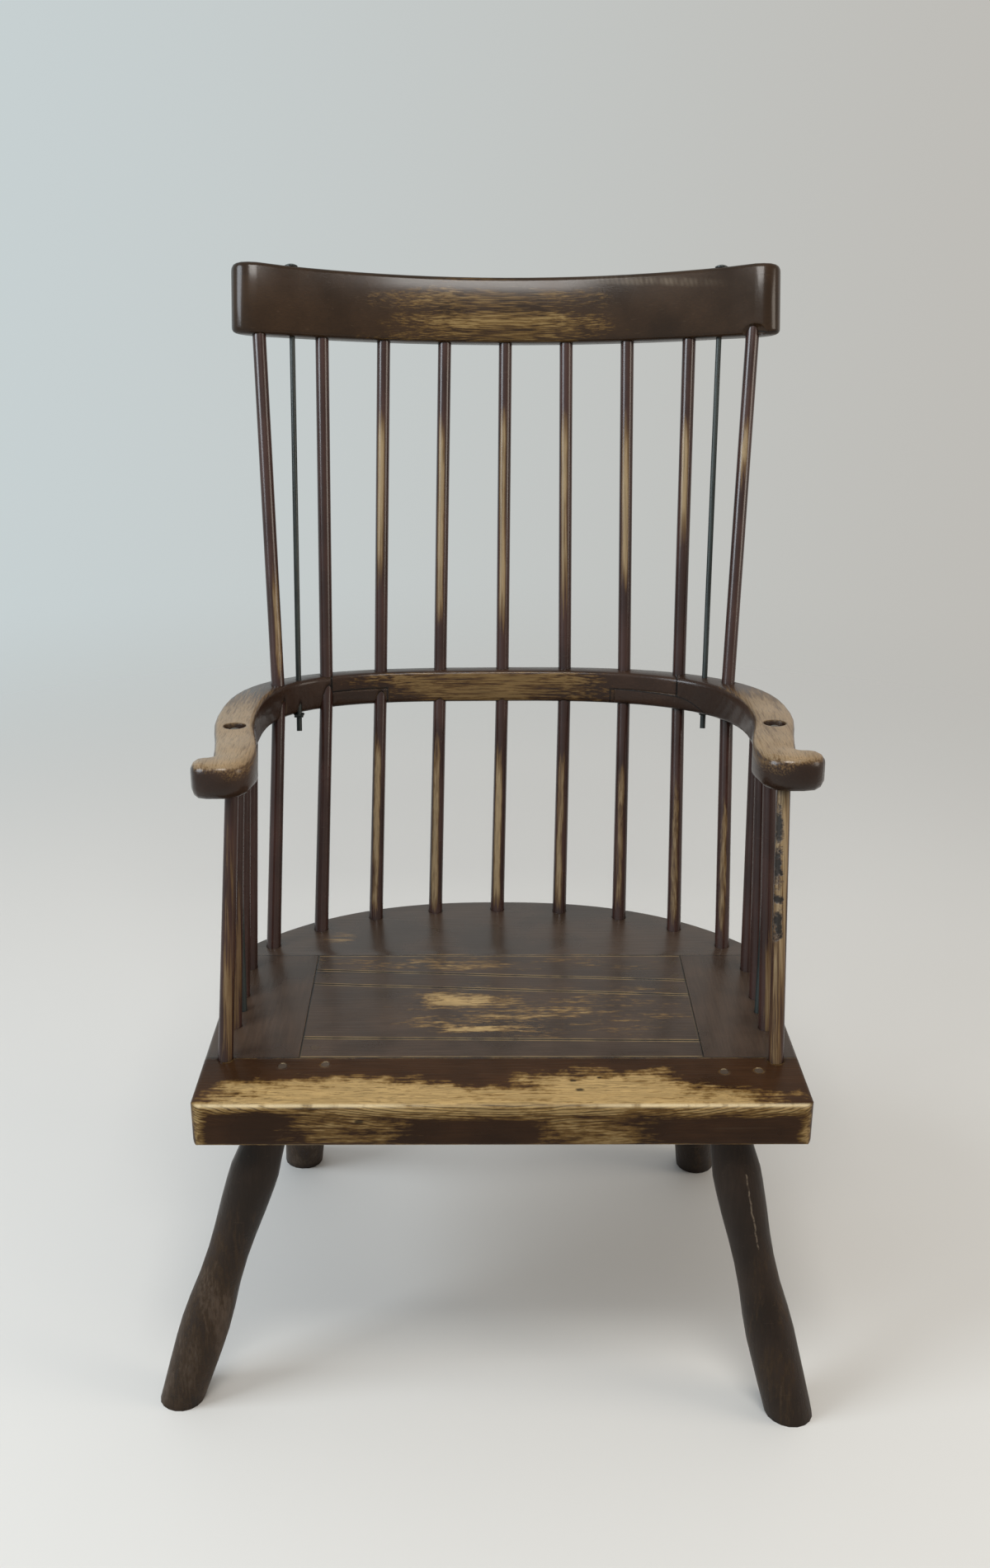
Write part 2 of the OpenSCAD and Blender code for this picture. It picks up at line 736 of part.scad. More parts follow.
// Seat board k, counted from the front
module seat_board(k) {
    edge = panel_half_w - board_gap / 2;
    half_gap = board_gap / 2;
    color(worn_wood)
        at_origin()
            difference() {
                translate([0, 0, ledge_z])
                    linear_extrude(height = board_t)
                        polygon([
                            [-edge, board_joint_left[k] + half_gap],
                            [edge, board_joint_right[k] + half_gap],
                            [edge, board_joint_right[k + 1] - half_gap],
                            [-edge, board_joint_left[k + 1] - half_gap]]);
                board_pegs_shape(fit_gap);
            }
}

module board_pegs() {
    color(worn_wood)
        at_origin()
            board_pegs_shape(0);
}

module rail_pegs() {
    color(worn_wood)
        at_origin()
            rail_pegs_shape(0);
}

// Legs

function leg_top(side, front) =
    front ? [side * (seat_w / 2 - (side == LEFT ? front_left_in : front_right_in)), front_leg_y, seat_low]
          : [side * (seat_w / 2 - rear_leg_in), rear_leg_y, seat_low];

function leg_foot(side, front) =
    let (out = front ? (side == LEFT ? front_left_out : front_right_out)
                     : (side == LEFT ? rear_left_out : rear_right_out))
    let (back = front ? -(side == LEFT ? front_left_forward : front_right_forward)
                      : (side == LEFT ? rear_left_back : rear_right_back))
    let (top = leg_top(side, front))
    [top[0] + side * out, top[1] + back, 0];

module leg_tenon(side, front, grow = 0) {
    top = leg_top(side, front);
    foot = leg_foot(side, front);
    rod(top - (top - foot) * 0.075, beyond(top, foot, leg_socket), leg_tenon_d + 2 * grow);
}

// Diameters up the leg: share of its height from the floor, and diameter
function leg_turning(foot_d) = [
    [-0.04, foot_d - 1.5], [0.03, foot_d], [0.12, (foot_d + leg_club_d) / 2],
    [0.21, leg_club_d - 0.5], [0.28, leg_club_d], [0.36, (leg_club_d + leg_waist_d) / 2 + 2],
    [0.45, leg_waist_d + 1.5], [0.54, leg_waist_d], [0.62, leg_waist_d + 1.8],
    [0.71, (leg_waist_d + leg_shoulder_d) / 2 + 1.6], [0.79, leg_shoulder_d - 0.2],
    [0.84, leg_shoulder_d], [0.90, leg_shoulder_d - 4.5], [0.96, leg_top_d + 0.5], [1.03, leg_top_d]];

// The legs were shaped by hand: sides are slightly flat and each one bends a little
module leg(side, front, foot_d, bend, sides = 18) {
    foot = leg_foot(side, front);
    top = leg_top(side, front);
    l = norm(top - foot);
    color(leg_wood)
        at_origin()
            union() {
                intersection() {
                    along(foot, top)
                        loft([for (p = leg_turning(foot_d))
                            [for (k = [0 : sides - 1])
                                let (a = 360 * k / sides)
                                let (r = p[1] / 2 * (1 + 0.012 * sin(3 * a + 200 * p[0])))
                                [r * cos(a) + bend[0] * sin(180 * p[0]),
                                 r * sin(a) + bend[1] * sin(180 * p[0]),
                                 l * p[0]]]]);
                    translate([-far, -far, 0])
                        cube([2 * far, 2 * far, seat_low]);
                }
                leg_tenon(side, front);
            }
}

// Arm bow pieces

module back_stick_holes(first, last) {
    for (i = [first : last]) {
        back_stick_low(i, fit_gap);
        back_stick_high(i, fit_gap);
    }
}

module bow_drilling(first_back, last_back, sides) {
    back_stick_holes(first_back, last_back);
    for (side = sides) {
        for (i = [0 : 3])
            arm_stick(side, i, fit_gap);
        rod(beyond(arm_rod_arm(side), arm_rod_seat(side), 20), arm_rod_seat(side), arm_rod_d + 2 * fit_gap);
        arm_counterbore(side);
    }
}

module arm_counterbore(side) {
    top = arm_rod_arm(side);
    floor_at = beyond(top, arm_rod_seat(side), -counterbore_h);
    rod(floor_at, beyond(top, arm_rod_seat(side), 30), counterbore_d);
}

module comb_rod_bore(k, d) {
    rod(beyond(comb_rod_top(k), comb_rod_bow(k), 20), beyond(comb_rod_bow(k), comb_rod_top(k), 80), d);
}

module arm_piece(side) {
    color(worn_wood)
        at_origin()
            difference() {
                set_bow()
                    difference() {
                        intersection() {
                            flat_bow();
                            translate([side == RIGHT ? 0 : -far, 0, -far])
                                cube([far, far, 2 * far]);
                        }
                        centre_region(lap_gap);
                    }
                bow_drilling(side == RIGHT ? 2 : -4, side == RIGHT ? 4 : -2, [side]);
                comb_rod_bore(side == RIGHT ? 1 : 0, comb_rod_d + 2 * fit_gap);
            }
}

module bow_centre() {
    color(worn_wood)
        at_origin()
            difference() {
                set_bow()
                    intersection() {
                        flat_bow();
                        centre_region(0);
                    }
                back_stick_holes(-2, 2);
            }
}

// Comb

// One section of the comb: thickness, height and rounding, set back where the front is worn away
function comb_ring(x, w, h, r) =
    [for (p = bar_outline(w, h, r))
        comb_point(x, p[0] + (comb_t - w) / 2, p[1] + comb_top_z(x) / 2)];

// The ends are rounded over like a cushion: distance from the end, loss of thickness and of height
comb_end_rows = [[0, 17, 11], [1, 12.5, 6], [3.5, 8.5, 3], [8, 4.5, 1.2], [15, 1.6, 0.4], [24, 0, 0]];

function comb_rows() =
    let (half = comb_l / 2)
    let (steps = 20)
    let (flat_half = half - 24)
    concat(
        [for (e = comb_end_rows)
            comb_ring(-half + e[0], comb_t - e[1], comb_top_z(half) - e[2], comb_edge_r)],
        [for (k = [1 : steps - 1])
            let (x = -flat_half + 2 * flat_half * k / steps)
            comb_ring(x, comb_t, comb_top_z(x), comb_edge_r)],
        [for (k = [len(comb_end_rows) - 1 : -1 : 0])
            let (e = comb_end_rows[k])
            comb_ring(half - e[0], comb_t - e[1], comb_top_z(half) - e[2], comb_edge_r)]);

// The lower edge has broken away in front of the outermost stick at the right
module comb_break() {
    place = comb_point(comb_pitch * 4 + 4, -comb_t / 2 - 4, 0);
    translate(place)
        rotate([-comb_lean, 0, 0])
            rotate([0, 0, -19])
                scale([1.3, 0.8, 1])
                    sphere(r = 14, $fn = 32);
}

module comb_rail() {
    color(dark_wood)
        at_origin()
            difference() {
                loft(comb_rows());
                for (i = [-4 : 4])
                    back_stick_high(i, fit_gap);
                for (k = [0, 1])
                    comb_rod_bore(k, comb_rod_d + 2 * fit_gap);
                comb_break();
            }
}

module back_stick_piece(i) {
    color(stick_wood)
        at_origin()
            back_stick(i);
}

module arm_stick_piece(side, i) {
    color(stick_wood)
        at_origin()
            arm_stick(side, i);
}

// Iron work

// The threaded end stands out under its nut, below the bow
module comb_rod(k) {
    head_at = comb_rod_head(k);
    under = comb_washer_t + comb_nut_t + rod_tail;
    low = beyond(comb_rod_bow(k), comb_rod_top(k), bow_t * 1.04 + under);
    color(iron)
        at_origin()
            union() {
                rod(low, beyond(head_at, low, comb_rod_head_h / 2), comb_rod_d);
                along(head_at, beyond(head_at, low, 10))
                    domed_head(comb_rod_head_d, comb_rod_head_h);
            }
}

// A low dome on a short round edge
module domed_head(d, h) {
    edge = h * 0.35;
    cap_h = h - edge;
    cap_r = (pow(d / 2, 2) + pow(cap_h, 2)) / (2 * cap_h);
    rotate_extrude($fn = round_fn)
        polygon(concat(
            [[0, 0], [d / 2, 0], [d / 2, edge]],
            [for (k = [1 : 6])
                let (a = asin(d / 2 / cap_r) * (1 - k / 6))
                [cap_r * sin(a), edge + cap_r * cos(a) - (cap_r - cap_h)]]));
}

function comb_rod_head(k) = beyond(comb_rod_top(k), comb_rod_bow(k), 0.3);

module square_nut(w, t, wash_d, wash_t) {
    translate([0, 0, -wash_t])
        cylinder(h = wash_t, d = wash_d, $fn = round_fn);
    translate([-w / 2, -w / 2, -wash_t - t])
        cube([w, w, t]);
}

module comb_rod_nuts() {
    color(iron)
        at_origin()
            for (k = [0, 1])
                difference() {
                    low = beyond(comb_rod_bow(k), comb_rod_top(k), bow_t * 1.09);
                    set_nut_under_bow(low)
                        square_nut(comb_nut_w, comb_nut_t, comb_washer_d, comb_washer_t);
                    comb_rod_bore(k, comb_rod_d + 2 * fit_gap);
                }
}

module set_nut_under_bow(at) {
    translate([at[0], at[1], bow_top(at[0], at[1]) - bow_t / cos(bow_rise)])
        rotate([-bow_rise, -bow_tilt, 0])
            children();
}

// The place where an arm rod passes the height z
function arm_rod_at(side, z) =
    let (a = arm_rod_arm(side), b = arm_rod_seat(side))
    a + (b - a) * (a[2] - z) / (a[2] - b[2]);

function arm_rod_end(side) = arm_rod_at(side, seat_low - washer_t - nut_t - arm_rod_tail);

module arm_rod(side) {
    top = arm_rod_arm(side);
    seat = beyond(top, arm_rod_seat(side), -counterbore_h);
    color(iron)
        at_origin()
            union() {
                rod(arm_rod_end(side), beyond(seat, arm_rod_end(side), 3), arm_rod_d);
                along(seat, top)
                    domed_head(bolt_head_d, counterbore_h - 2);
            }
}

module arm_rod_nuts() {
    color(iron)
        at_origin()
            for (side = [LEFT, RIGHT])
                difference() {
                    low = arm_rod_at(side, seat_low - (washer_t + nut_t) / 2);
                    translate([low[0], low[1], seat_low])
                        square_nut(nut_w, nut_t, washer_d, washer_t);
                    rod(arm_rod_seat(side), beyond(arm_rod_end(side), arm_rod_seat(side), 10),
                        arm_rod_d + 2 * fit_gap);
                }
}

// The origin is at the middle of the footprint of the whole chair

min_x = leg_foot(LEFT, true)[0] - leg_foot_d / 2 - 0.8;
max_x = comb_point(comb_l / 2, comb_t / 2, 0)[0];
min_y = leg_foot(RIGHT, true)[1] - leg_foot_d / 2 - 1.6;
max_y = comb_point(0, comb_t / 2 - comb_edge_r, comb_top_z(0) - comb_edge_r)[1] + comb_edge_r;
origin_x = (min_x + max_x) / 2;
origin_y = (min_y + max_y) / 2;

module at_origin() {
    translate([-origin_x, -origin_y, 0])
        children();
}

seat_front_rail();
seat_back_rail();
seat_side_rail(LEFT);  // seat_side_rail_left
seat_side_rail(RIGHT);  // seat_side_rail_right
seat_board(0);  // seat_board_1
seat_board(1);  // seat_board_2
seat_board(2);  // seat_board_3
seat_board(3);  // seat_board_4
board_pegs();
rail_pegs();
leg(LEFT, true, leg_foot_d, [0, 2]);  // leg_front_left
leg(RIGHT, true, leg_foot_d + 3.5, [1.9, 1.5]);  // leg_front_right
leg(LEFT, false, leg_foot_d + 3, [2, 0]);  // leg_rear_left
leg(RIGHT, false, leg_foot_d + 3, [1, 2]);  // leg_rear_right
arm_piece(LEFT);  // arm_left
arm_piece(RIGHT);  // arm_right
bow_centre();
comb_rail();
back_stick_piece(-4);  // back_stick_1
back_stick_piece(-3);  // back_stick_2
back_stick_piece(-2);  // back_stick_3
back_stick_piece(-1);  // back_stick_4
back_stick_piece(0);  // back_stick_5
back_stick_piece(1);  // back_stick_6
back_stick_piece(2);  // back_stick_7
back_stick_piece(3);  // back_stick_8
back_stick_piece(4);  // back_stick_9
arm_stick_piece(LEFT, 0);  // arm_stick_left_1
arm_stick_piece(LEFT, 1);  // arm_stick_left_2
arm_stick_piece(LEFT, 2);  // arm_stick_left_3
arm_stick_piece(LEFT, 3);  // arm_stick_left_4
arm_stick_piece(RIGHT, 0);  // arm_stick_right_1
arm_stick_piece(RIGHT, 1);  // arm_stick_right_2
arm_stick_piece(RIGHT, 2);  // arm_stick_right_3
arm_stick_piece(RIGHT, 3);  // arm_stick_right_4
comb_rod(0);  // comb_rod_left
comb_rod(1);  // comb_rod_right
arm_rod(LEFT);  // arm_rod_left
arm_rod(RIGHT);  // arm_rod_right
comb_rod_nuts();
arm_rod_nuts();
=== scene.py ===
"""Finish and stage for a comb-back stick armchair, laid out as a Blender add-on.

The shapes come from the frame. This file gives them their woods and iron, and adds a floor, lights and a
camera. Lengths are in metres, and colours are linear red, green and blue.
"""

import math

import bpy
from mathutils import Matrix, Vector


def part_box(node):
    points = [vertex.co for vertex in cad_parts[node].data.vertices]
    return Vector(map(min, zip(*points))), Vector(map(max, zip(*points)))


bl_info = {
    "name": "Stick armchair finish",
    "version": (1, 0, 0),
    "blender": (4, 5, 0),
    "location": "View3D > Sidebar > Armchair",
    "description": "Waxed wood, wear, iron and a plain studio for a stick armchair",
    "category": "Object",
}

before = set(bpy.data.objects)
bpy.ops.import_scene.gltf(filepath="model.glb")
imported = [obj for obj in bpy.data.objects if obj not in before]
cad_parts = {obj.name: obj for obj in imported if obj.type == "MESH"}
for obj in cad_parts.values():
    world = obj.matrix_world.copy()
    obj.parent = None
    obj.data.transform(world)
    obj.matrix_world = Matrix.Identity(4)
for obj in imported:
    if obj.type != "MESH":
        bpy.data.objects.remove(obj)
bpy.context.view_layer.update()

# Measures of the chair, from the boxes of its pieces
SEAT_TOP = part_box("seat_side_rail_left")[1].z
SEAT_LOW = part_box("seat_front_rail")[0].z
SEAT_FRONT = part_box("seat_front_rail")[0].y
SEAT_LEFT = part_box("seat_front_rail")[0].x
SEAT_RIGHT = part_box("seat_front_rail")[1].x
SEAT_MID = (SEAT_LEFT + SEAT_RIGHT) / 2
PANEL_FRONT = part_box("seat_board_1")[0].y
PANEL_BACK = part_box("seat_board_4")[1].y
PANEL_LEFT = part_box("seat_board_2")[0].x
PANEL_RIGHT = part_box("seat_board_2")[1].x
BOW_LOW, BOW_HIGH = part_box("bow_centre")
ARM_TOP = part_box("arm_left")[1].z
COMB_LOW, COMB_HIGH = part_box("comb_rail")
KNOTTY_LOW, KNOTTY_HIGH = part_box("arm_stick_right_1")

# How far the sticks lean back for each metre of height. The width of the middle back stick stands for its
# thickness, which its box adds to the lean.
STICK_LOW, STICK_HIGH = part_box("back_stick_5")
BACK_LEAN = (STICK_HIGH.y - STICK_LOW.y - (STICK_HIGH.x - STICK_LOW.x)) / (STICK_HIGH.z - STICK_LOW.z)
ARM_LEAN = 0.355

# Ends of the laps of the bow: the upper half ends with the centre piece, the lower half here
LAP_LEFT, LAP_RIGHT = -0.12, 0.153
LAP_HEIGHT = (BOW_LOW.z + BOW_HIGH.z) / 2

# Joint lines of the seat boards: shares of the panel's depth at the left and at the right
JOINTS = [(0.0, 0.0), (0.179, 0.148), (0.699, 0.585), (0.843, 0.734), (1.0, 1.0)]

SEAT_BOARDS = ["seat_board_1", "seat_board_2", "seat_board_3", "seat_board_4"]
LEGS = ["leg_front_left", "leg_front_right", "leg_rear_left", "leg_rear_right"]
BACK_STICKS = [f"back_stick_{k}" for k in range(1, 10)]
ARM_STICKS = [f"arm_stick_{side}_{k}" for side in ("left", "right") for k in range(1, 5)]
KNOTTY_STICK = "arm_stick_right_1"
RODS = ["comb_rod_left", "comb_rod_right", "arm_rod_left", "arm_rod_right"]
NUTS = ["comb_rod_nuts", "arm_rod_nuts"]


# Node trees

# Added to a line's distance where the line doesn't run: wider than any line
FAR = 0.01


class Wiring:
    """Adds nodes to one node tree and joins them. Most methods give the socket of their result."""

    def __init__(self, tree):
        self.tree = tree

    def put(self, socket, value):
        """Link a socket to another one, or set its own value."""
        if isinstance(value, bpy.types.NodeSocket):
            self.tree.links.new(value, socket)
        else:
            socket.default_value = value

    def node(self, kind, inputs=None, **settings):
        """A new node, the node itself."""
        made = self.tree.nodes.new(kind)
        for key, value in settings.items():
            setattr(made, key, value)
        for key, value in (inputs or {}).items():
            self.put(made.inputs[key], value)
        return made

    def math(self, operation, a, b=0.0, clamp=False):
        return self.node("ShaderNodeMath", {0: a, 1: b}, operation=operation, use_clamp=clamp).outputs[0]

    def times(self, first, *rest):
        """Product of any number of values."""
        for value in rest:
            first = self.math("MULTIPLY", first, value)
        return first

    def near(self, value, target):
        """Distance of a value from a target."""
        return self.math("ABSOLUTE", self.math("SUBTRACT", value, target))

    def vector(self, operation, a, b=(0.0, 0.0, 0.0)):
        made = self.node("ShaderNodeVectorMath", {0: a, 1: b}, operation=operation)
        return made.outputs["Value" if operation in ("LENGTH", "DOT_PRODUCT") else "Vector"]

    def ramp(self, value, low, high, to_low=0.0, to_high=1.0):
        """A soft step from to_low, where the value is low, to to_high, where it is high. It may run down."""
        made = self.node("ShaderNodeMapRange", {
            "Value": value, "From Min": low, "From Max": high,
            "To Min": to_low, "To Max": to_high}, interpolation_type="SMOOTHSTEP")
        return made.outputs["Result"]

    def cut(self, value, runs, ends):
        """A limit of a line: 0 where the value is at runs, so that the line shows, and FAR where it is at ends."""
        return self.ramp(value, runs, ends, 0.0, FAR)

    def mix(self, factor, a, b):
        """Blend of two colours. 6, 7 and 2 are the colour sockets of the Mix node."""
        made = self.node("ShaderNodeMix", data_type="RGBA", clamp_factor=True)
        self.put(made.inputs[0], factor)
        self.put(made.inputs[6], a)
        self.put(made.inputs[7], b)
        return made.outputs[2]

    def noise(self, vector, scale, detail=3.0, roughness=0.5):
        return self.node("ShaderNodeTexNoise", {
            "Vector": vector, "Scale": scale, "Detail": detail, "Roughness": roughness}).outputs[0]

    def drift(self, vector, scales, detail=3.0, roughness=0.5):
        """Noise with its own scale along each axis. It doesn't change along an axis whose scale is 0."""
        return self.noise(self.vector("MULTIPLY", vector, scales), 1.0, detail, roughness)

    def group(self, name, inputs):
        """One of the shared groups, all its outputs."""
        made = self.tree.nodes.new("ShaderNodeGroup")
        made.node_tree = shared_group(name)
        for key, value in inputs.items():
            self.put(made.inputs[key], value)
        return made.outputs

    def place(self):
        return self.node("ShaderNodeTexCoord").outputs["Object"]

    def split(self, vector):
        """The three parts of a vector."""
        return self.node("ShaderNodeSeparateXYZ", {0: vector}).outputs


def fresh_wiring(owner):
    """Wiring of a material or world whose node tree has been emptied."""
    owner.use_nodes = True
    owner.node_tree.nodes.clear()
    return Wiring(owner.node_tree)


def start_group(name, inputs, outputs):
    """An empty shader node group with named sockets, its wiring, and its two end nodes."""
    tree = bpy.data.node_groups.new(name, "ShaderNodeTree")
    for label, kind, value in inputs:
        socket = tree.interface.new_socket(label, in_out="INPUT", socket_type=kind)
        socket.default_value = value
    for label, kind in outputs:
        tree.interface.new_socket(label, in_out="OUTPUT", socket_type=kind)
    wiring = Wiring(tree)
    given = wiring.node("NodeGroupInput").outputs
    result = wiring.node("NodeGroupOutput").inputs
    return tree, wiring, given, result


FLOAT = "NodeSocketFloat"
VECTOR = "NodeSocketVector"


def grain_group():
    """Wood grain: long streaks, broad clouds, short flecks and fine pores, stretched along one axis."""
    tree, w, given, result = start_group("wood_grain", [
        ("Vector", VECTOR, (0, 0, 0)), ("Stretch", VECTOR, (0.06, 1, 1)),
        ("Short Stretch", VECTOR, (0.25, 1, 1)), ("Fineness", FLOAT, 320.0)],
        [("Streaks", FLOAT), ("Clouds", FLOAT), ("Flecks", FLOAT), ("Pores", FLOAT)])
    middle, sway = (0.5, 0.5, 0.5), (0.02, 0.02, 0.02)
    run = w.vector("MULTIPLY", given["Vector"], given["Stretch"])
    bend = w.node("ShaderNodeTexNoise", {"Vector": run, "Scale": 9.0, "Detail": 2.0}).outputs["Color"]
    bent = w.vector("ADD", run, w.vector("MULTIPLY", w.vector("SUBTRACT", bend, middle), sway))
    w.put(result["Streaks"], w.ramp(w.noise(bent, given["Fineness"], 4.0, 0.6), 0.3, 0.7))
    short = w.vector("MULTIPLY", given["Vector"], given["Short Stretch"])
    w.put(result["Clouds"], w.ramp(w.noise(short, 48.0, 4.0, 0.6), 0.3, 0.7))
    w.put(result["Flecks"], w.ramp(w.noise(short, 360.0, 3.0, 0.62), 0.36, 0.64))
    fine = w.noise(bent, w.times(given["Fineness"], 2.6), 2.0, 0.45)
    w.put(result["Pores"], w.ramp(fine, 0.56, 0.66))
    return tree


def patch_group():
    """A soft field of wear: 1 inside a rounded box about Centre, falling to 0 past its ragged rim."""
    tree, w, given, result = start_group("worn_patch", [
        ("Vector", VECTOR, (0, 0, 0)), ("Centre", VECTOR, (0, 0, 0)), ("Half Size", VECTOR, (0.1, 0.1, 0.1)),
        ("Feather", FLOAT, 0.45), ("Rag", FLOAT, 0.4), ("Rag Scale", FLOAT, 40.0)], [("Field", FLOAT)])
    power, root = 3.0, 0.3333
    offset = w.vector("SUBTRACT", given["Vector"], given["Centre"])
    parts = w.split(w.vector("DIVIDE", offset, given["Half Size"]))
    x, y, z = [w.math("POWER", w.math("ABSOLUTE", part), power) for part in parts]
    reach = w.math("POWER", w.math("ADD", w.math("ADD", x, y), z), root)
    torn = w.math("SUBTRACT", w.noise(given["Vector"], given["Rag Scale"], 4.0, 0.62), 0.5)
    reach = w.math("ADD", reach, w.times(torn, w.times(given["Rag"], 2.0)))
    outer, inner = (w.math(sign, 1.0, given["Feather"]) for sign in ("ADD", "SUBTRACT"))
    w.put(result["Field"], w.ramp(reach, outer, inner))
    return tree


def edge_group():
    """Softened edges, and a broken mask along them where hands rub the wax away."""
    tree, w, given, result = start_group("edge_wear", [
        ("Vector", VECTOR, (0, 0, 0)), ("Radius", FLOAT, 0.0015), ("Amount", FLOAT, 1.0)],
        [("Mask", FLOAT), ("Normal", VECTOR)])
    soft = w.node("ShaderNodeBevel", {"Radius": given["Radius"]}, samples=5).outputs[0]
    sharp = w.node("ShaderNodeNewGeometry").outputs["Normal"]
    away = w.math("SUBTRACT", 1.0, w.vector("DOT_PRODUCT", soft, sharp))
    broken = w.ramp(w.noise(given["Vector"], 70.0, 5.0, 0.65), 0.38, 0.62)
    rubbed = w.times(w.ramp(away, 0.01, 0.16), broken)
    w.put(result["Mask"], w.math("MULTIPLY", rubbed, given["Amount"], clamp=True))
    w.put(result["Normal"], soft)
    return tree


def corner_shade_group():
    """Painted shade: darkens corners and round the feet of the sticks, found by ambient occlusion and broken into
    patches.
    """
    tree, w, given, result = start_group("painted_corner_shade", [
        ("Vector", VECTOR, (0, 0, 0)), ("Reach", FLOAT, 0.012), ("Amount", FLOAT, 0.8)], [("Mask", FLOAT)])
    closed = w.node("ShaderNodeAmbientOcclusion", {"Distance": given["Reach"]}, samples=6).outputs["AO"]
    patchy = w.ramp(w.noise(given["Vector"], 120.0, 4.0, 0.6), 0.2, 0.7, 0.5, 1.0)
    shaded = w.times(w.ramp(closed, 0.85, 0.3), patchy)
    w.put(result["Mask"], w.math("MULTIPLY", shaded, given["Amount"], clamp=True))
    return tree


# The two layers of fine scratches cross each other: turn in radians, and shift of the pattern
SCRATCH_LAYERS = ((0.5, 0.0), (-0.9, 3.0))


def polish_group():
    """Uneven wax polish: varying roughness, fine scratches, and the low waves of hand-planed wood."""
    tree, w, given, result = start_group("wax_polish", [
        ("Vector", VECTOR, (0, 0, 0)), ("Low", FLOAT, 0.26), ("High", FLOAT, 0.5)],
        [("Roughness", FLOAT), ("Scratches", FLOAT), ("Waves", FLOAT), ("Mottle", FLOAT)])
    cloud = w.noise(given["Vector"], 14.0, 3.0, 0.5)
    span = w.math("SUBTRACT", given["High"], given["Low"])
    w.put(result["Roughness"], w.math("ADD", given["Low"], w.times(w.ramp(cloud, 0.3, 0.72), span)))
    w.put(result["Mottle"], w.ramp(cloud, 0.32, 0.68))
    lines = None
    for turn, shift in SCRATCH_LAYERS:
        turned = w.node("ShaderNodeMapping", {
            "Vector": given["Vector"], "Location": (shift, shift, 0.0),
            "Rotation": (0.3 * turn, 0.5, turn), "Scale": (9.0, 420.0, 420.0)}).outputs[0]
        line = w.ramp(w.noise(turned, 1.0, 1.0, 0.4), 0.73, 0.77)
        lines = line if lines is None else w.math("MAXIMUM", lines, line)
    w.put(result["Scratches"], lines)
    w.put(result["Waves"], w.noise(given["Vector"], 24.0, 1.5, 0.4))
    return tree


GROUPS = {
    "wood_grain": grain_group,
    "worn_patch": patch_group,
    "edge_wear": edge_group,
    "painted_corner_shade": corner_shade_group,
    "wax_polish": polish_group,
}


def shared_group(name):
    """A group of the table above, built the first time that it is asked for."""
    return bpy.data.node_groups.get(name) or GROUPS[name]()


def colour(rgb, factor=1.0):
    """A colour for a socket, made darker or lighter by a factor."""
    return (rgb[0] * factor, rgb[1] * factor, rgb[2] * factor, 1.0)


# Wood

# Stretch of the grain: a small share along an axis draws the streaks out along it
ALONG_X = (0.06, 1.0, 1.0)
ALONG_Y = (1.0, 0.06, 1.0)
ALONG_Z = (1.0, 1.0, 0.05)
ALONG_STICK = (1.0, 1.0, 0.014)
ALONG_BOARD = (0.03, 1.0, 1.0)
ALONG_ARM = (1.0, 0.03, 1.0)

# Directions that surfaces face, as the chair is seen from the front
TO_FRONT = (0.0, -1.0, 0.0)
TO_FRONT_UP = (0.0, -1.0, 0.1)

# Dark of gaps and cracks and of the painted shade in corners, and the pale brown of fine scratches
GAP_AND_SHADE_DARK = (0.006, 0.004, 0.003)
SCRATCH_PALE = (0.17, 0.12, 0.075)

# Factors that a wood's colours take: the coat's mottle and streaks, the bare wood's streaks and pores, the
# figure lines, and the stain's shares of the bare wood and of the coat
COAT_MOTTLE = (0.75, 1.3)
COAT_STREAK = 0.5
BARE_STREAKS = (1.15, 0.7)
BARE_PORE = 0.28
FIGURE_COAT = 0.8
STAIN_OF_BARE = (0.3, 0.25, 0.16)
STAIN_OF_COAT = 0.5

# How much rougher worn wood is, how much smoother a gleam, and the shader's own values
WORN_ROUGHER = 0.12
GLEAM_SMOOTHER = 0.22
WAX_ROUGHNESS = 0.14
WOOD_IOR = 1.5


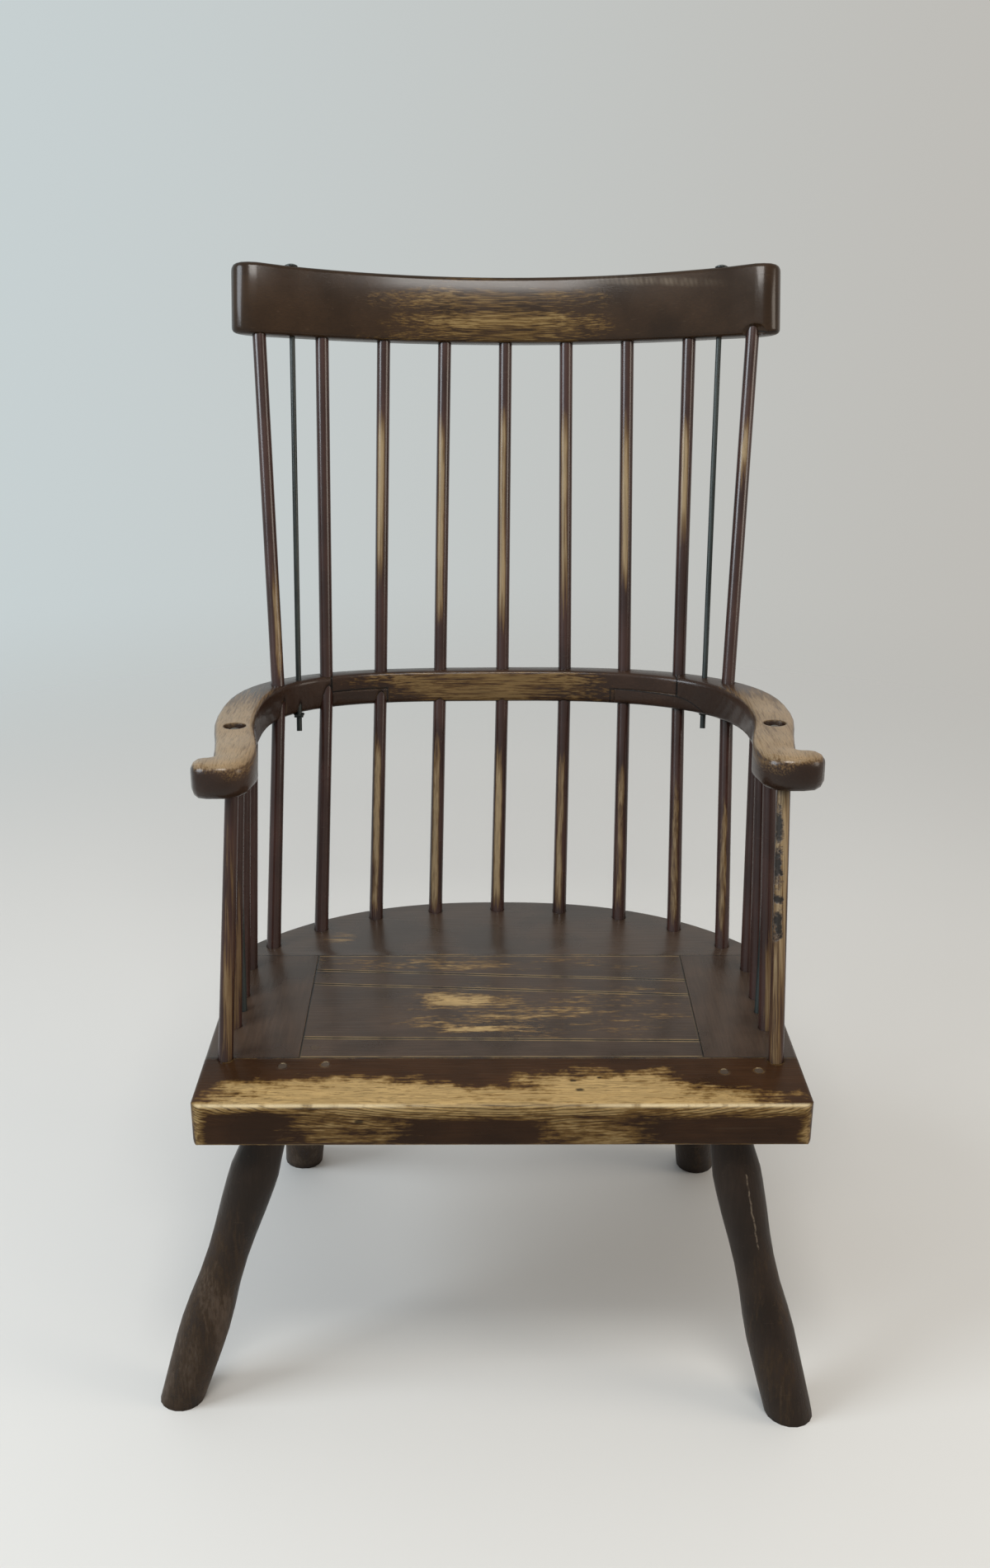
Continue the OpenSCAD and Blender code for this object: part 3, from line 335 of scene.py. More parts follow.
class Wood:
    """One waxed wood: a dark coat, an amber stain where it thins, and bare wood where it is worn through.

    edge and edge_amount are the radius and the wear of its edges, gloss its least and most roughness, level
    the strength of its mirroring, fineness the scale of its grain, shine the weight of its wax, and lean how
    far it leans back for each metre of height.
    """

    def __init__(self, name, coat, bare, stretch, edge, edge_amount, gloss, level,
                 fineness=320.0, shine=0.12, lean=0.0):
        self.material = bpy.data.materials.new(name)
        w = self.w = fresh_wiring(self.material)
        self.at = w.place()
        self.x, self.y, self.z = w.split(self.at)
        self.coat, self.bare = coat, bare
        along = self.at
        if lean:
            upright = w.math("SUBTRACT", self.y, w.times(self.z, lean))
            along = w.node("ShaderNodeCombineXYZ", {0: self.x, 1: upright, 2: self.z}).outputs[0]
        self.grain = w.group("wood_grain", {
            "Vector": along, "Stretch": stretch, "Fineness": fineness,
            "Short Stretch": tuple(share ** 0.5 for share in stretch)})
        self.polish = w.group("wax_polish", {"Vector": self.at, "Low": gloss[0], "High": gloss[1]})
        self.edge = w.group("edge_wear", {"Vector": self.at, "Radius": edge, "Amount": edge_amount})
        # Mask of the painted shade in corners
        self.corner_shade = w.group("painted_corner_shade", {"Vector": self.at})["Mask"]
        self.normal = w.node("ShaderNodeNewGeometry").outputs["Normal"]
        self.level, self.shine = level, shine
        self.field = None
        self.worn = self.edge["Mask"]
        self.tints = []
        self.bumps = []
        self.figure = None
        self.gleam = None

    def facing(self, direction, low, high, soft=False):
        """A step from 0 to 1 as the surface turns to a direction; soft counts the rounded edges."""
        normal = self.edge["Normal"] if soft else self.normal
        return self.w.ramp(self.w.vector("DOT_PRODUCT", normal, direction), low, high)

    def area(self, centre, half, feather=0.45, rag=0.4, rag_scale=40.0):
        """A patch of this wood as a field from 0 to 1."""
        return self.w.group("worn_patch", {
            "Vector": self.at, "Centre": centre, "Half Size": half,
            "Feather": feather, "Rag": rag, "Rag Scale": rag_scale})["Field"]

    def add_field(self, amount, *factors):
        """Wear where all factors are high. Where fields meet, the stronger one holds."""
        field = self.w.times(*factors, amount)
        self.field = field if self.field is None else self.w.math("MAXIMUM", self.field, field)

    def wear(self, low, high, streak, cloud=0.4, fleck=0.0):
        """Break the soft fields up along the grain, so that the wax thins in streaks."""
        w = self.w
        total = self.field
        for name, share in (("Streaks", streak), ("Clouds", cloud), ("Flecks", fleck)):
            total = w.math("ADD", total, w.times(w.math("SUBTRACT", self.grain[name], 0.5), share))
        keep = w.node("ShaderNodeMapRange", {"Value": total, "From Min": low, "From Max": high})
        keep = w.times(keep.outputs["Result"], w.ramp(self.field, 0.02, 0.3))
        self.worn = w.math("MAXIMUM", self.worn, keep)

    def tint(self, rgb, amount, *masks):
        """Another colour over everything so far, where all masks are high."""
        self.tints.append((self.w.times(*masks, amount), rgb))

    def line(self, half, amount, distance, *limits):
        """A thin dark line where a distance is near zero, ended by limits from cut."""
        for limit in limits:
            distance = self.w.math("ADD", distance, limit)
        self.tint(GAP_AND_SHADE_DARK, amount, self.w.ramp(distance, half * 1.5, half * 0.6))

    def bump(self, height, distance):
        """Relief of a height of 1; a negative distance sinks it in."""
        self.bumps.append((height, distance))

    def base_colour(self):
        w = self.w
        streaks = self.grain["Streaks"]
        coat = w.mix(self.polish["Mottle"], *(colour(self.coat, share) for share in COAT_MOTTLE))
        coat = w.mix(w.times(streaks, 0.4), coat, colour(self.coat, COAT_STREAK))
        bare = w.mix(streaks, *(colour(self.bare, share) for share in BARE_STREAKS))
        bare = w.mix(w.times(self.grain["Pores"], 0.5), bare, colour(self.bare, BARE_PORE))
        shares = zip(STAIN_OF_BARE, self.bare, self.coat)
        stain = tuple(share * own_bare + STAIN_OF_COAT * own_coat for share, own_bare, own_coat in shares)
        base = w.mix(w.ramp(self.worn, 0.0, 0.55), coat, colour(stain))
        base = w.mix(w.ramp(self.worn, 0.4, 1.0), base, bare)
        if self.figure is not None:
            base = w.mix(self.figure, base, colour(self.coat, FIGURE_COAT))
        for mask, rgb in self.tints:
            base = w.mix(mask, base, colour(rgb))
        base = w.mix(w.times(self.polish["Scratches"], 0.08), base, colour(SCRATCH_PALE))
        # Painted shade: darker in corners, by the ambient occlusion mask
        return w.mix(self.corner_shade, base, colour(GAP_AND_SHADE_DARK))

    def finish(self, grain_bump=0.00006, wave_bump=0.0005):
        """The finished material. The two heights are those of the grain and of the plane's waves."""
        w = self.w
        base = self.base_colour()
        rough = w.math("ADD", self.polish["Roughness"], w.times(self.worn, WORN_ROUGHER), clamp=True)
        if self.gleam is not None:
            rough = w.math("SUBTRACT", rough, w.times(self.gleam, GLEAM_SMOOTHER))
        normal = self.edge["Normal"]
        own_bumps = [(self.polish["Waves"], wave_bump), (self.grain["Streaks"], grain_bump)]
        for height, distance in own_bumps + self.bumps:
            normal = w.node("ShaderNodeBump", {
                "Height": height, "Distance": abs(distance), "Strength": 1.0, "Normal": normal},
                invert=distance < 0).outputs[0]
        shader = w.node("ShaderNodeBsdfPrincipled", {
            "Base Color": base, "Roughness": rough, "Normal": normal, "IOR": WOOD_IOR,
            "Specular IOR Level": self.level, "Coat Weight": self.shine, "Coat Roughness": WAX_ROUGHNESS})
        w.node("ShaderNodeOutputMaterial", {"Surface": shader.outputs[0]})
        return self.material


# Edges sharper than this stay sharp, and points nearer than this are one
SHARP_EDGE = math.radians(38)
SAME_POINT = 0.00002


def smooth_group():
    """A geometry node group that closes the mesh and smooths it, but for edges sharper than the limit."""
    tree = bpy.data.node_groups.get("smooth_skin")
    if tree:
        return tree
    tree = bpy.data.node_groups.new("smooth_skin", "GeometryNodeTree")
    tree.interface.new_socket("Geometry", in_out="INPUT", socket_type="NodeSocketGeometry")
    limit = tree.interface.new_socket("Limit", in_out="INPUT", socket_type="NodeSocketFloat")
    limit.subtype = "ANGLE"
    limit.default_value = SHARP_EDGE
    tree.interface.new_socket("Geometry", in_out="OUTPUT", socket_type="NodeSocketGeometry")
    w = Wiring(tree)
    given = w.node("NodeGroupInput").outputs
    result = w.node("NodeGroupOutput").inputs
    plain = w.node("GeometryNodeRemoveAttribute", {"Geometry": given["Geometry"], "Name": "custom_normal"})
    closed = w.node("GeometryNodeMergeByDistance", {"Geometry": plain.outputs[0], "Distance": SAME_POINT})
    soft = w.node("GeometryNodeSetShadeSmooth", {"Geometry": closed.outputs[0], "Shade Smooth": True},
                  domain="FACE")
    angle = w.node("GeometryNodeInputMeshEdgeAngle").outputs["Unsigned Angle"]
    sharp = w.node("FunctionNodeCompare", data_type="FLOAT", operation="GREATER_THAN")
    w.put(sharp.inputs[0], angle)
    w.put(sharp.inputs[1], given["Limit"])
    edges = w.node("GeometryNodeSetShadeSmooth", {
        "Geometry": soft.outputs[0], "Selection": sharp.outputs[0], "Shade Smooth": False}, domain="EDGE")
    w.put(result["Geometry"], edges.outputs[0])
    return tree


def dress(names, material):
    """Give CAD nodes a material and a smooth skin."""
    for name in names:
        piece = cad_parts[name]
        piece.data.materials.clear()
        piece.data.materials.append(material)
        skin = piece.modifiers.new("smooth skin", "NODES")
        skin.node_group = smooth_group()


def looks():
    """The settings of this scene."""
    return bpy.context.scene.stick_armchair


# Settings

def colour_setting(name, description, default):
    return bpy.props.FloatVectorProperty(
        name=name, description=description, default=default, size=3, min=0, max=1, subtype="COLOR")


class ArmchairSettings(bpy.types.PropertyGroup):
    seat_coat: colour_setting("Seat wax", "Dark wax of the seat", (0.046, 0.028, 0.018))
    seat_bare: colour_setting("Bare seat wood", "Wood where the seat is worn", (0.38, 0.255, 0.105))
    face_coat: colour_setting("Front rail wax", "Reddish wax of the front rail", (0.034, 0.0145, 0.0055))
    # Painted highlight along the front arris of the seat
    arris_highlight: colour_setting("Front arris", "Wood rubbed bright along the front edge", (0.72, 0.58, 0.35))
    comb_coat: colour_setting("Comb wax", "Dark wax of the comb", (0.027, 0.013, 0.005))
    comb_bare: colour_setting("Bare comb wood", "Wood where the comb is worn", (0.28, 0.185, 0.07))
    # Painted highlight: pale glints on the spokeshave scallops of the comb
    comb_mark_glint: colour_setting("Comb tool marks", "Pale scallops on the comb", (0.2, 0.16, 0.115))
    bow_coat: colour_setting("Bow wax", "Dark wax of the arm bow", (0.034, 0.017, 0.01))
    bow_bare: colour_setting("Bare bow wood", "Wood where the bow is worn", (0.21, 0.13, 0.05))
    arm_tan: colour_setting("Arm tops", "Bleached wood on top of the arms", (0.29, 0.2, 0.11))
    stick_coat: colour_setting("Stick wax", "Reddish dark wax of the sticks", (0.034, 0.013, 0.009))
    stick_bare: colour_setting("Bare stick wood", "Wood where the sticks are worn", (0.31, 0.22, 0.115))
    leg_coat: colour_setting("Leg wax", "Dark brown of the legs", (0.024, 0.015, 0.01))
    leg_fleck: colour_setting("Leg flecks", "Brown wear marks on the legs", (0.085, 0.058, 0.04))
    iron: colour_setting("Iron", "Dark painted iron of the rods", (0.02, 0.025, 0.023))
    bolt_head: colour_setting("Bolt heads", "Worn iron of the bolt heads in the arms", (0.1, 0.086, 0.068))
    floor: colour_setting("Floor", "Pale floor of the studio", (0.64, 0.63, 0.6))
    edge_radius: bpy.props.FloatProperty(
        name="Edge radius", description="Radius of the rubbed edges of the seat",
        default=0.0018, min=0, max=0.005, subtype="DISTANCE", unit="LENGTH")
    light_level: bpy.props.FloatProperty(
        name="Light level", description="Strength of the light all round", default=0.66, min=0, max=3)
    wear: bpy.props.FloatProperty(
        name="Front rail wear", description="How far the wax is rubbed from the edges of the front rail",
        default=0.6, min=0, max=1, subtype="FACTOR")


# Seat

PEG_COAT = (0.055, 0.037, 0.024)

# Half width and strength of the dark line over a joint of the rails
RAIL_GAP = (0.0007, 0.85)

# Height of the plane's waves on the rails and the boards
SEAT_WAVES = 0.0003

# Worn places on top of the seat: centre, half size, strength, feather and rag
BACK_RAIL_WORN = (
    ((SEAT_MID - 0.19, 0.038), (0.02, 0.012), 0.45, 0.8, 0.8),
    ((SEAT_MID, PANEL_BACK), (0.13, 0.003), 0.6, 0.6, 0.4),
)
BOARD_WORN = (
    ((-0.022, -0.113), (0.044, 0.014), 0.95, 0.6, 0.7),
    ((-0.004, -0.176), (0.036, 0.007), 0.95, 0.6, 0.7),
    ((0.06, -0.135), (0.15, 0.055), 0.42, 0.8, 0.4),
    ((0.0, PANEL_BACK - 0.02), (0.19, 0.016), 0.38, 0.8, 0.4),
)

# The crack in the rear board: its distance from the back of the panel, how far it wanders, and the x between
# which it fades out towards the right
BOARD_CRACK_IN = 0.047
BOARD_CRACK_SWAY = 0.008
BOARD_CRACK_END = (-0.1, -0.06)

# Front rail. Its top: x, half width and half depth of the worn places. Its face: x and half width.
RAIL_TOP_WORN = ((-0.15, 0.115, 0.05), (0.0, 0.28, 0.037), (0.12, 0.1, 0.058))
RAIL_FACE_WORN = ((-0.142, 0.06), (0.118, 0.06))

# Worm holes in the top of the front rail: x, y and half width; and the nick in its face
WORM_HOLES = ((0.089, -0.28, 0.0032), (0.095, -0.297, 0.004), (0.116, -0.274, 0.0022))
NICK_AT = (-0.127, SEAT_FRONT, 0.351)
NICK_HALF = (0.0045, 0.01, 0.002)

# Figure lines of the front rail: distance between them, how far they dip for each square metre, and sway
FIGURE_STEP = 0.0031
FIGURE_DIP = 0.42
FIGURE_SWAY = 0.009


class ARMCHAIR_OT_seat(bpy.types.Operator):
    """Finish the rails, boards and pegs of the seat"""
    bl_idname = "armchair.seat"
    bl_label = "Seat"

    def execute(self, context):
        s = looks()
        dress(["seat_front_rail"], self.front_rail(s))
        dress(["seat_back_rail"], self.back_rail(s))
        dress(["seat_side_rail_left", "seat_side_rail_right"], self.side_rails(s))
        dress(SEAT_BOARDS, self.boards(s))
        dress(["board_pegs", "rail_pegs"], self.pegs(s))
        return {"FINISHED"}

    def worn_top(self, wood, places, half_height):
        for centre, half, amount, feather, rag in places:
            wood.add_field(amount, wood.area((*centre, SEAT_TOP), (*half, half_height), feather, rag))

    def back_rail(self, s):
        wood = Wood("back rail", s.seat_coat, s.seat_bare, ALONG_X, s.edge_radius, 0.35, (0.22, 0.34),
                    level=0.5)
        self.worn_top(wood, BACK_RAIL_WORN, 0.01)
        wood.wear(0.3, 1.1, 0.8, 0.6)
        wood.line(*RAIL_GAP, wood.w.near(wood.y, PANEL_BACK))
        return wood.finish(wave_bump=SEAT_WAVES)

    def side_rails(self, s):
        wood = Wood("side rail", s.seat_coat, s.seat_bare, ALONG_Y, s.edge_radius, 0.35, (0.24, 0.38),
                    level=0.36)
        for joint in (PANEL_FRONT, PANEL_BACK):
            wood.line(*RAIL_GAP, wood.w.near(wood.y, joint))
        return wood.finish(wave_bump=SEAT_WAVES)

    def pegs(self, s):
        return Wood("peg", PEG_COAT, s.seat_bare, ALONG_Z, 0.0008, 0.4, (0.3, 0.45), level=0.25,
                    fineness=700.0, shine=0.05).finish()

    def joint_distance(self, wood):
        """Distance from the nearest of the joint lines that run across the panel."""
        w = wood.w
        across = w.math("DIVIDE", w.math("SUBTRACT", wood.x, PANEL_LEFT), PANEL_RIGHT - PANEL_LEFT)
        depth = PANEL_BACK - PANEL_FRONT
        nearest = None
        for left, right in JOINTS:
            line = w.math("ADD", PANEL_FRONT + left * depth, w.times(across, (right - left) * depth))
            distance = w.near(wood.y, line)
            nearest = distance if nearest is None else w.math("MINIMUM", nearest, distance)
        return nearest

    def boards(self, s):
        wood = Wood("seat board", s.seat_coat, s.seat_bare, ALONG_X, 0.0012, 0.4, (0.26, 0.42), level=0.4)
        w = wood.w
        self.worn_top(wood, BOARD_WORN, 0.02)
        wood.wear(0.32, 1.12, 0.62, 0.6, 0.4)
        uneven = w.drift(wood.at, (26.0, 5.0, 0.0), 3.0, 0.6)
        joint = self.joint_distance(wood)
        wood.tint(s.seat_bare, 0.5, w.ramp(joint, 0.0034, 0.002), w.ramp(uneven, 0.34, 0.6, 0.25, 1.0))
        sides = w.math("MINIMUM", w.near(wood.x, PANEL_LEFT), w.near(wood.x, PANEL_RIGHT))
        wood.tint(s.seat_bare, 0.35, w.ramp(sides, 0.002, 0.001), w.ramp(uneven, 0.4, 0.6))
        wood.line(0.0013, 0.9, w.math("MINIMUM", joint, sides))
        sway = w.times(w.drift(wood.at, (12.0, 0.0, 0.0), 2.0), BOARD_CRACK_SWAY)
        crack = w.near(wood.y, w.math("ADD", PANEL_BACK - BOARD_CRACK_IN, sway))
        wood.line(0.0009, 0.8, crack, w.cut(wood.x, *BOARD_CRACK_END))
        return wood.finish(wave_bump=SEAT_WAVES)

    def front_rail(self, s):
        wood = Wood("front rail", s.face_coat, s.seat_bare, ALONG_X, 0.005, s.wear, (0.24, 0.36),
                    level=0.1, shine=0.04)
        w = wood.w
        face = wood.facing(TO_FRONT, 0.35, 0.8)
        top = w.math("SUBTRACT", 1.0, face)
        self.rail_wear(wood, face, top)
        wood.figure = self.cathedral(wood, face)
        mottled = w.times(w.ramp(wood.grain["Flecks"], 0.66, 0.9), w.ramp(wood.grain["Clouds"], 0.4, 0.8))
        wood.tint(s.face_coat, 0.35, mottled, top)
        # Painted highlight: a pale line where the rounded front edge faces up and forward, broken, and stronger
        # towards the ends
        arris_highlight = wood.facing((0.0, -0.7, 0.7), 0.9, 0.985, soft=True)
        broken = w.ramp(w.drift(wood.at, (70.0, 0.0, 0.0), 2.0), 0.32, 0.5, 0.3, 1.0)
        ends = w.ramp(w.near(wood.x, SEAT_MID), 0.05, 0.15, 0.15, 1.0)
        wood.tint(s.arris_highlight, 0.8, arris_highlight, broken, ends)
        for x, y, half in WORM_HOLES:
            hole = wood.area((x, y, SEAT_TOP), (half, half * 0.6, 0.004), feather=0.4, rag_scale=400.0)
            wood.tint(GAP_AND_SHADE_DARK, 0.85, hole)
        wood.tint(GAP_AND_SHADE_DARK, 0.8, wood.area(NICK_AT, NICK_HALF, feather=0.4))
        panel_half = PANEL_RIGHT - SEAT_MID
        inside = w.cut(w.near(wood.x, SEAT_MID), panel_half, panel_half - 0.001)
        wood.line(*RAIL_GAP, w.near(wood.y, PANEL_FRONT), inside)
        return wood.finish(0.00008, 0.0006)

    def rail_wear(self, wood, face, top):
        """Gold wear on the top, on the upper strip and low on the face, and along the lower edge."""
        w = wood.w
        for x, half_x, half_y in RAIL_TOP_WORN:
            field = wood.area((x, SEAT_FRONT, SEAT_TOP), (half_x, half_y, 0.03), 0.38, 0.55)
            wood.add_field(1.08, field, top)
        height = w.math("SUBTRACT", wood.z, w.ramp(wood.x, -0.17, -0.24, 0.0, 0.007))
        wood.add_field(0.78, w.ramp(height, SEAT_TOP - 0.023, SEAT_TOP - 0.006), face)
        for x, half_x in RAIL_FACE_WORN:
            field = wood.area((x, SEAT_FRONT, SEAT_LOW + 0.018), (half_x, 0.03, 0.05), 0.5, 0.6)
            wood.add_field(0.48, field, face)
        wood.add_field(0.7, w.ramp(wood.z, SEAT_LOW + 0.006, SEAT_LOW + 0.001))
        for x in (SEAT_LEFT, SEAT_RIGHT):
            wood.add_field(0.7, wood.area((x, SEAT_FRONT, SEAT_LOW + 0.02), (0.014, 0.03, 0.04), 0.5), face)
        wood.wear(0.22, 1.0, 0.5, 0.5, 0.2)

    def cathedral(self, wood, face):
        """Dark figure lines that dip towards the middle of the front face."""
        w = wood.w
        bow = w.times(w.math("POWER", w.near(wood.x, SEAT_MID), 2.0), FIGURE_DIP)
        level = w.math("SUBTRACT", wood.z, bow)
        sway = w.times(w.drift(wood.at, (9.0, 9.0, 60.0), 3.0, 0.55), FIGURE_SWAY)
        wave = w.math("SINE", w.times(w.math("ADD", level, sway), 2 * math.pi / FIGURE_STEP))
        patchy = w.ramp(wood.grain["Clouds"], 0.15, 0.6, 0.35, 1.0)
        fade = w.ramp(wood.z, SEAT_LOW + 0.01, SEAT_TOP - 0.012, 0.2, 0.85)
        return w.times(w.ramp(wave, 0.35, 0.95), patchy, face, fade)


# Legs

# The pale crack in the front right leg: its x at the floor, its slope, how far it wanders, and its middle and
# half length in height
LEG_CRACK_PALE = (0.24, 0.19, 0.14)
LEG_CRACK_X = 0.3165
LEG_CRACK_SLOPE = 0.192
LEG_CRACK_SWAY = 0.006
LEG_CRACK_MIDDLE = 0.238
LEG_CRACK_HALF = 0.04


class ARMCHAIR_OT_legs(bpy.types.Operator):
    """Finish the four legs"""
    bl_idname = "armchair.legs"
    bl_label = "Legs"

    def execute(self, context):
        s = looks()
        wood = Wood("leg", s.leg_coat, s.leg_fleck, ALONG_Z, 0.001, 0.25, (0.34, 0.52), level=0.16,
                    fineness=260.0, shine=0.0)
        w = wood.w
        lower = w.times(w.ramp(wood.z, 0.27, 0.1, 0.15, 0.8), w.ramp(wood.x, -0.1, 0.1, 1.0, 0.45))
        wood.add_field(1.0, lower)
        wood.wear(0.3, 1.3, 0.4, 0.7, 0.3)
        pits = w.ramp(w.noise(wood.at, 210.0, 4.0, 0.65), 0.54, 0.72)
        wood.bump(w.times(pits, lower), -0.0004)
        self.crack(wood)
        dress(LEGS, wood.finish(0.0001, 0.0008))
        return {"FINISHED"}

    def crack(self, wood):
        """A fine pale crack down the upper front of the front right leg."""
        w = wood.w
        sway = w.times(w.drift(wood.at, (0.0, 0.0, 60.0), 3.0, 0.6), LEG_CRACK_SWAY)
        run = w.math("ADD", w.math("SUBTRACT", LEG_CRACK_X, w.times(wood.z, LEG_CRACK_SLOPE)), sway)
        ends = w.cut(w.near(wood.z, LEG_CRACK_MIDDLE), LEG_CRACK_HALF, LEG_CRACK_HALF + 0.01)
        distance = w.math("ADD", w.near(wood.x, run), ends)
        front = w.times(w.ramp(wood.y, -0.2, -0.22), wood.facing(TO_FRONT, 0.2, 0.5))
        broken = w.ramp(w.noise(wood.at, 160.0, 2.0), 0.4, 0.55, 0.2, 1.0)
        wood.tint(LEG_CRACK_PALE, 0.5, w.ramp(distance, 0.0011, 0.0005), front, broken)


# Arm bow

# The y from which, and to which, the tan of the arms comes up towards the hand grips
ARM_TAN_FROM, ARM_TAN_TO = 0.17, 0.0

# The let-in repair at the right lap: its length past the lap, and how fast its joint curves down
REPAIR_LENGTH = 0.03
REPAIR_CURVE = 13.0


class ARMCHAIR_OT_arm_bow(bpy.types.Operator):
    """Finish the arms and the centre piece of the bow"""
    bl_idname = "armchair.arm_bow"
    bl_label = "Arm bow"

    def execute(self, context):
        s = looks()
        dress(["bow_centre"], self.centre(s))
        dress(["arm_left"], self.arm(s, "left arm", -1))
        dress(["arm_right"], self.arm(s, "right arm", 1))
        return {"FINISHED"}

    def centre(self, s):
        wood = Wood("bow centre", s.bow_coat, s.bow_bare, ALONG_BOARD, 0.002, 0.4, (0.2, 0.34), level=0.16,
                    fineness=520.0, shine=0.2)
        w = wood.w
        inner = wood.facing(TO_FRONT_UP, 0.45, 0.85)
        field = wood.area((0.0, BOW_HIGH.y - 0.02, LAP_HEIGHT), (0.145, 0.05, 0.021), 0.5)
        wood.add_field(0.78, field, inner)
        wood.add_field(0.4, inner, w.ramp(wood.z, LAP_HEIGHT + 0.014, LAP_HEIGHT + 0.02))
        wood.wear(0.3, 1.1, 0.9, 0.5, 0.2)
        self.laps(wood)
        return wood.finish(0.0001, 0.0004)

    def laps(self, wood):
        """Dark joint lines of both laps: at half height, up from it at the outer end, down at the inner."""
        w = wood.w
        x, z = wood.x, wood.z
        above = w.cut(z, LAP_HEIGHT, LAP_HEIGHT - 0.001)
        below = w.cut(z, LAP_HEIGHT, LAP_HEIGHT + 0.001)
        for outer, inner in ((BOW_LOW.x, LAP_LEFT), (BOW_HIGH.x, LAP_RIGHT)):
            wood.line(0.0011, 0.9, w.near(x, outer), above)
            wood.line(0.0009, 0.85, w.near(x, inner), below)
            half = abs(outer - inner) / 2
            beyond = w.cut(w.near(x, (outer + inner) / 2), half, half + 0.001)
            wood.line(0.0008, 0.85, w.near(z, LAP_HEIGHT), beyond)

    def arm(self, s, name, side):
        """One arm; side is -1 for the left and 1 for the right."""
        wood = Wood(name, s.bow_coat, s.arm_tan, ALONG_ARM, 0.004, 0.3, (0.22, 0.38), level=0.16,
                    fineness=500.0, shine=0.3)
        w = wood.w
        forward = w.ramp(wood.y, ARM_TAN_FROM, ARM_TAN_TO)
        wood.add_field(0.95, wood.facing((0.0, 0.0, 1.0), 0.2, 0.95, soft=True), forward)
        flank = w.times(forward, wood.facing((-side, -0.4, 0.1), 0.2, 0.8))
        wood.add_field(0.4, flank, w.ramp(wood.z, ARM_TOP - 0.026, ARM_TOP - 0.004))
        wood.gleam = wood.facing((-0.3, -0.6, 0.75), 0.75, 0.95, soft=True)
        wood.wear(0.12, 1.05, 0.6, 0.3)
        self.laps(wood)
        if side > 0:
            self.repair(wood)
        return wood.finish(0.00012, 0.0006)

    def repair(self, wood):
        """The let-in piece at the right lap runs on past the joint and curves down to the lower edge."""
        w = wood.w
        past = w.math("SUBTRACT", wood.x, BOW_HIGH.x)
        run = w.math("SUBTRACT", LAP_HEIGHT, w.times(w.times(past, past), REPAIR_CURVE))
        half = REPAIR_LENGTH / 2
        wood.line(0.0009, 0.85, w.near(wood.z, run), w.cut(w.near(past, half), half, half + 0.001))


# Comb

# Worn places on its front: x and z, half width and half height, and strength
COMB_WORN = (
    (0.028, 1.055, 0.11, 0.012, 0.85),
    (0.012, 1.08, 0.13, 0.012, 0.52),
    (0.0, 1.037, 0.12, 0.008, 0.6),
    (-0.01, 1.105, 0.04, 0.006, 0.5),
)

# The patches reach this far in depth, so that they cover the whole curve of the comb
COMB_REACH = 0.12

# Painted glints on the tool marks: x and z of their middle, half width and half height, distance between the
# ripples, and slant
MARKS_X, MARKS_Z = 0.2, 1.102
MARKS_HALF_X, MARKS_HALF_Z = 0.055, 0.004
MARKS_STEP = 0.0058
MARKS_SLANT = 0.3

# The crack at the right: height, how far it wanders, how far it rises and between which x, and where it ends
COMB_CRACK_Z = 1.038
COMB_CRACK_SWAY = 0.004
COMB_CRACK_RISE = 0.009
COMB_CRACK_RISES = (0.3, 0.322)
COMB_CRACK_END = (0.25, 0.246)


class ARMCHAIR_OT_comb(bpy.types.Operator):
    """Finish the comb"""
    bl_idname = "armchair.comb"
    bl_label = "Comb"

    def execute(self, context):
        s = looks()
        wood = Wood("comb", s.comb_coat, s.comb_bare, ALONG_BOARD, 0.003, 0.3, (0.22, 0.34), level=0.14,
                    fineness=720.0, shine=0.3)
        depth = (COMB_LOW.y + COMB_HIGH.y) / 2
        front = wood.facing(TO_FRONT_UP, 0.3, 0.8)
        for x, z, half_x, half_z, amount in COMB_WORN:
            wood.add_field(amount, wood.area((x, depth, z), (half_x, COMB_REACH, half_z), 0.7), front)
        wood.wear(0.2, 1.25, 0.95, 0.4, 0.1)
        self.tool_mark_glints(wood, depth, s)
        self.crack(wood)
        dress(["comb_rail"], wood.finish(0.00003, 0.0003))
        return {"FINISHED"}

    def tool_mark_glints(self, wood, depth, s):
        """Painted highlight: a soft glint with faint ripples on the shallow scallops of the spokeshave under the
        top edge.
        """
        w = wood.w
        half = (MARKS_HALF_X, COMB_REACH, MARKS_HALF_Z)
        place = wood.area((MARKS_X, depth, MARKS_Z), half, 0.75, 0.4, 60.0)
        slant = w.math("ADD", wood.x, w.times(wood.z, MARKS_SLANT))
        ripple = w.ramp(w.math("SINE", w.times(slant, 2 * math.pi / MARKS_STEP)), -1.0, 1.0, 0.55, 1.0)
        uneven = w.ramp(w.drift(wood.at, (80.0, 0.0, 40.0), 2.0), 0.35, 0.62, 0.35, 1.0)
        # Painted highlight on the scallops
        wood.tint(s.comb_mark_glint, 0.42, ripple, uneven, place)

    def crack(self, wood):
        """A thin crack along the lower edge at the right, up to the broken place."""
        w = wood.w
        height = w.math("ADD", COMB_CRACK_Z, w.times(w.noise(wood.at, 40.0, 3.0), COMB_CRACK_SWAY))
        height = w.math("ADD", height, w.ramp(wood.x, *COMB_CRACK_RISES, 0.0, COMB_CRACK_RISE))
        wood.line(0.0008, 0.9, w.near(wood.z, height), w.cut(wood.x, *COMB_CRACK_END))


# Sticks

# Wear of the back sticks. Pairs are the values between which it comes up: heights, or distances from the
# middle of the seat. The upper stretch begins higher on the outer sticks, by the square of that distance.
UPPER_FOOT, UPPER_CURVE = 0.71, 2.2
UPPER_HEAD = (0.975, 0.91)
UPPER_LEFT = (-0.2, -0.165)

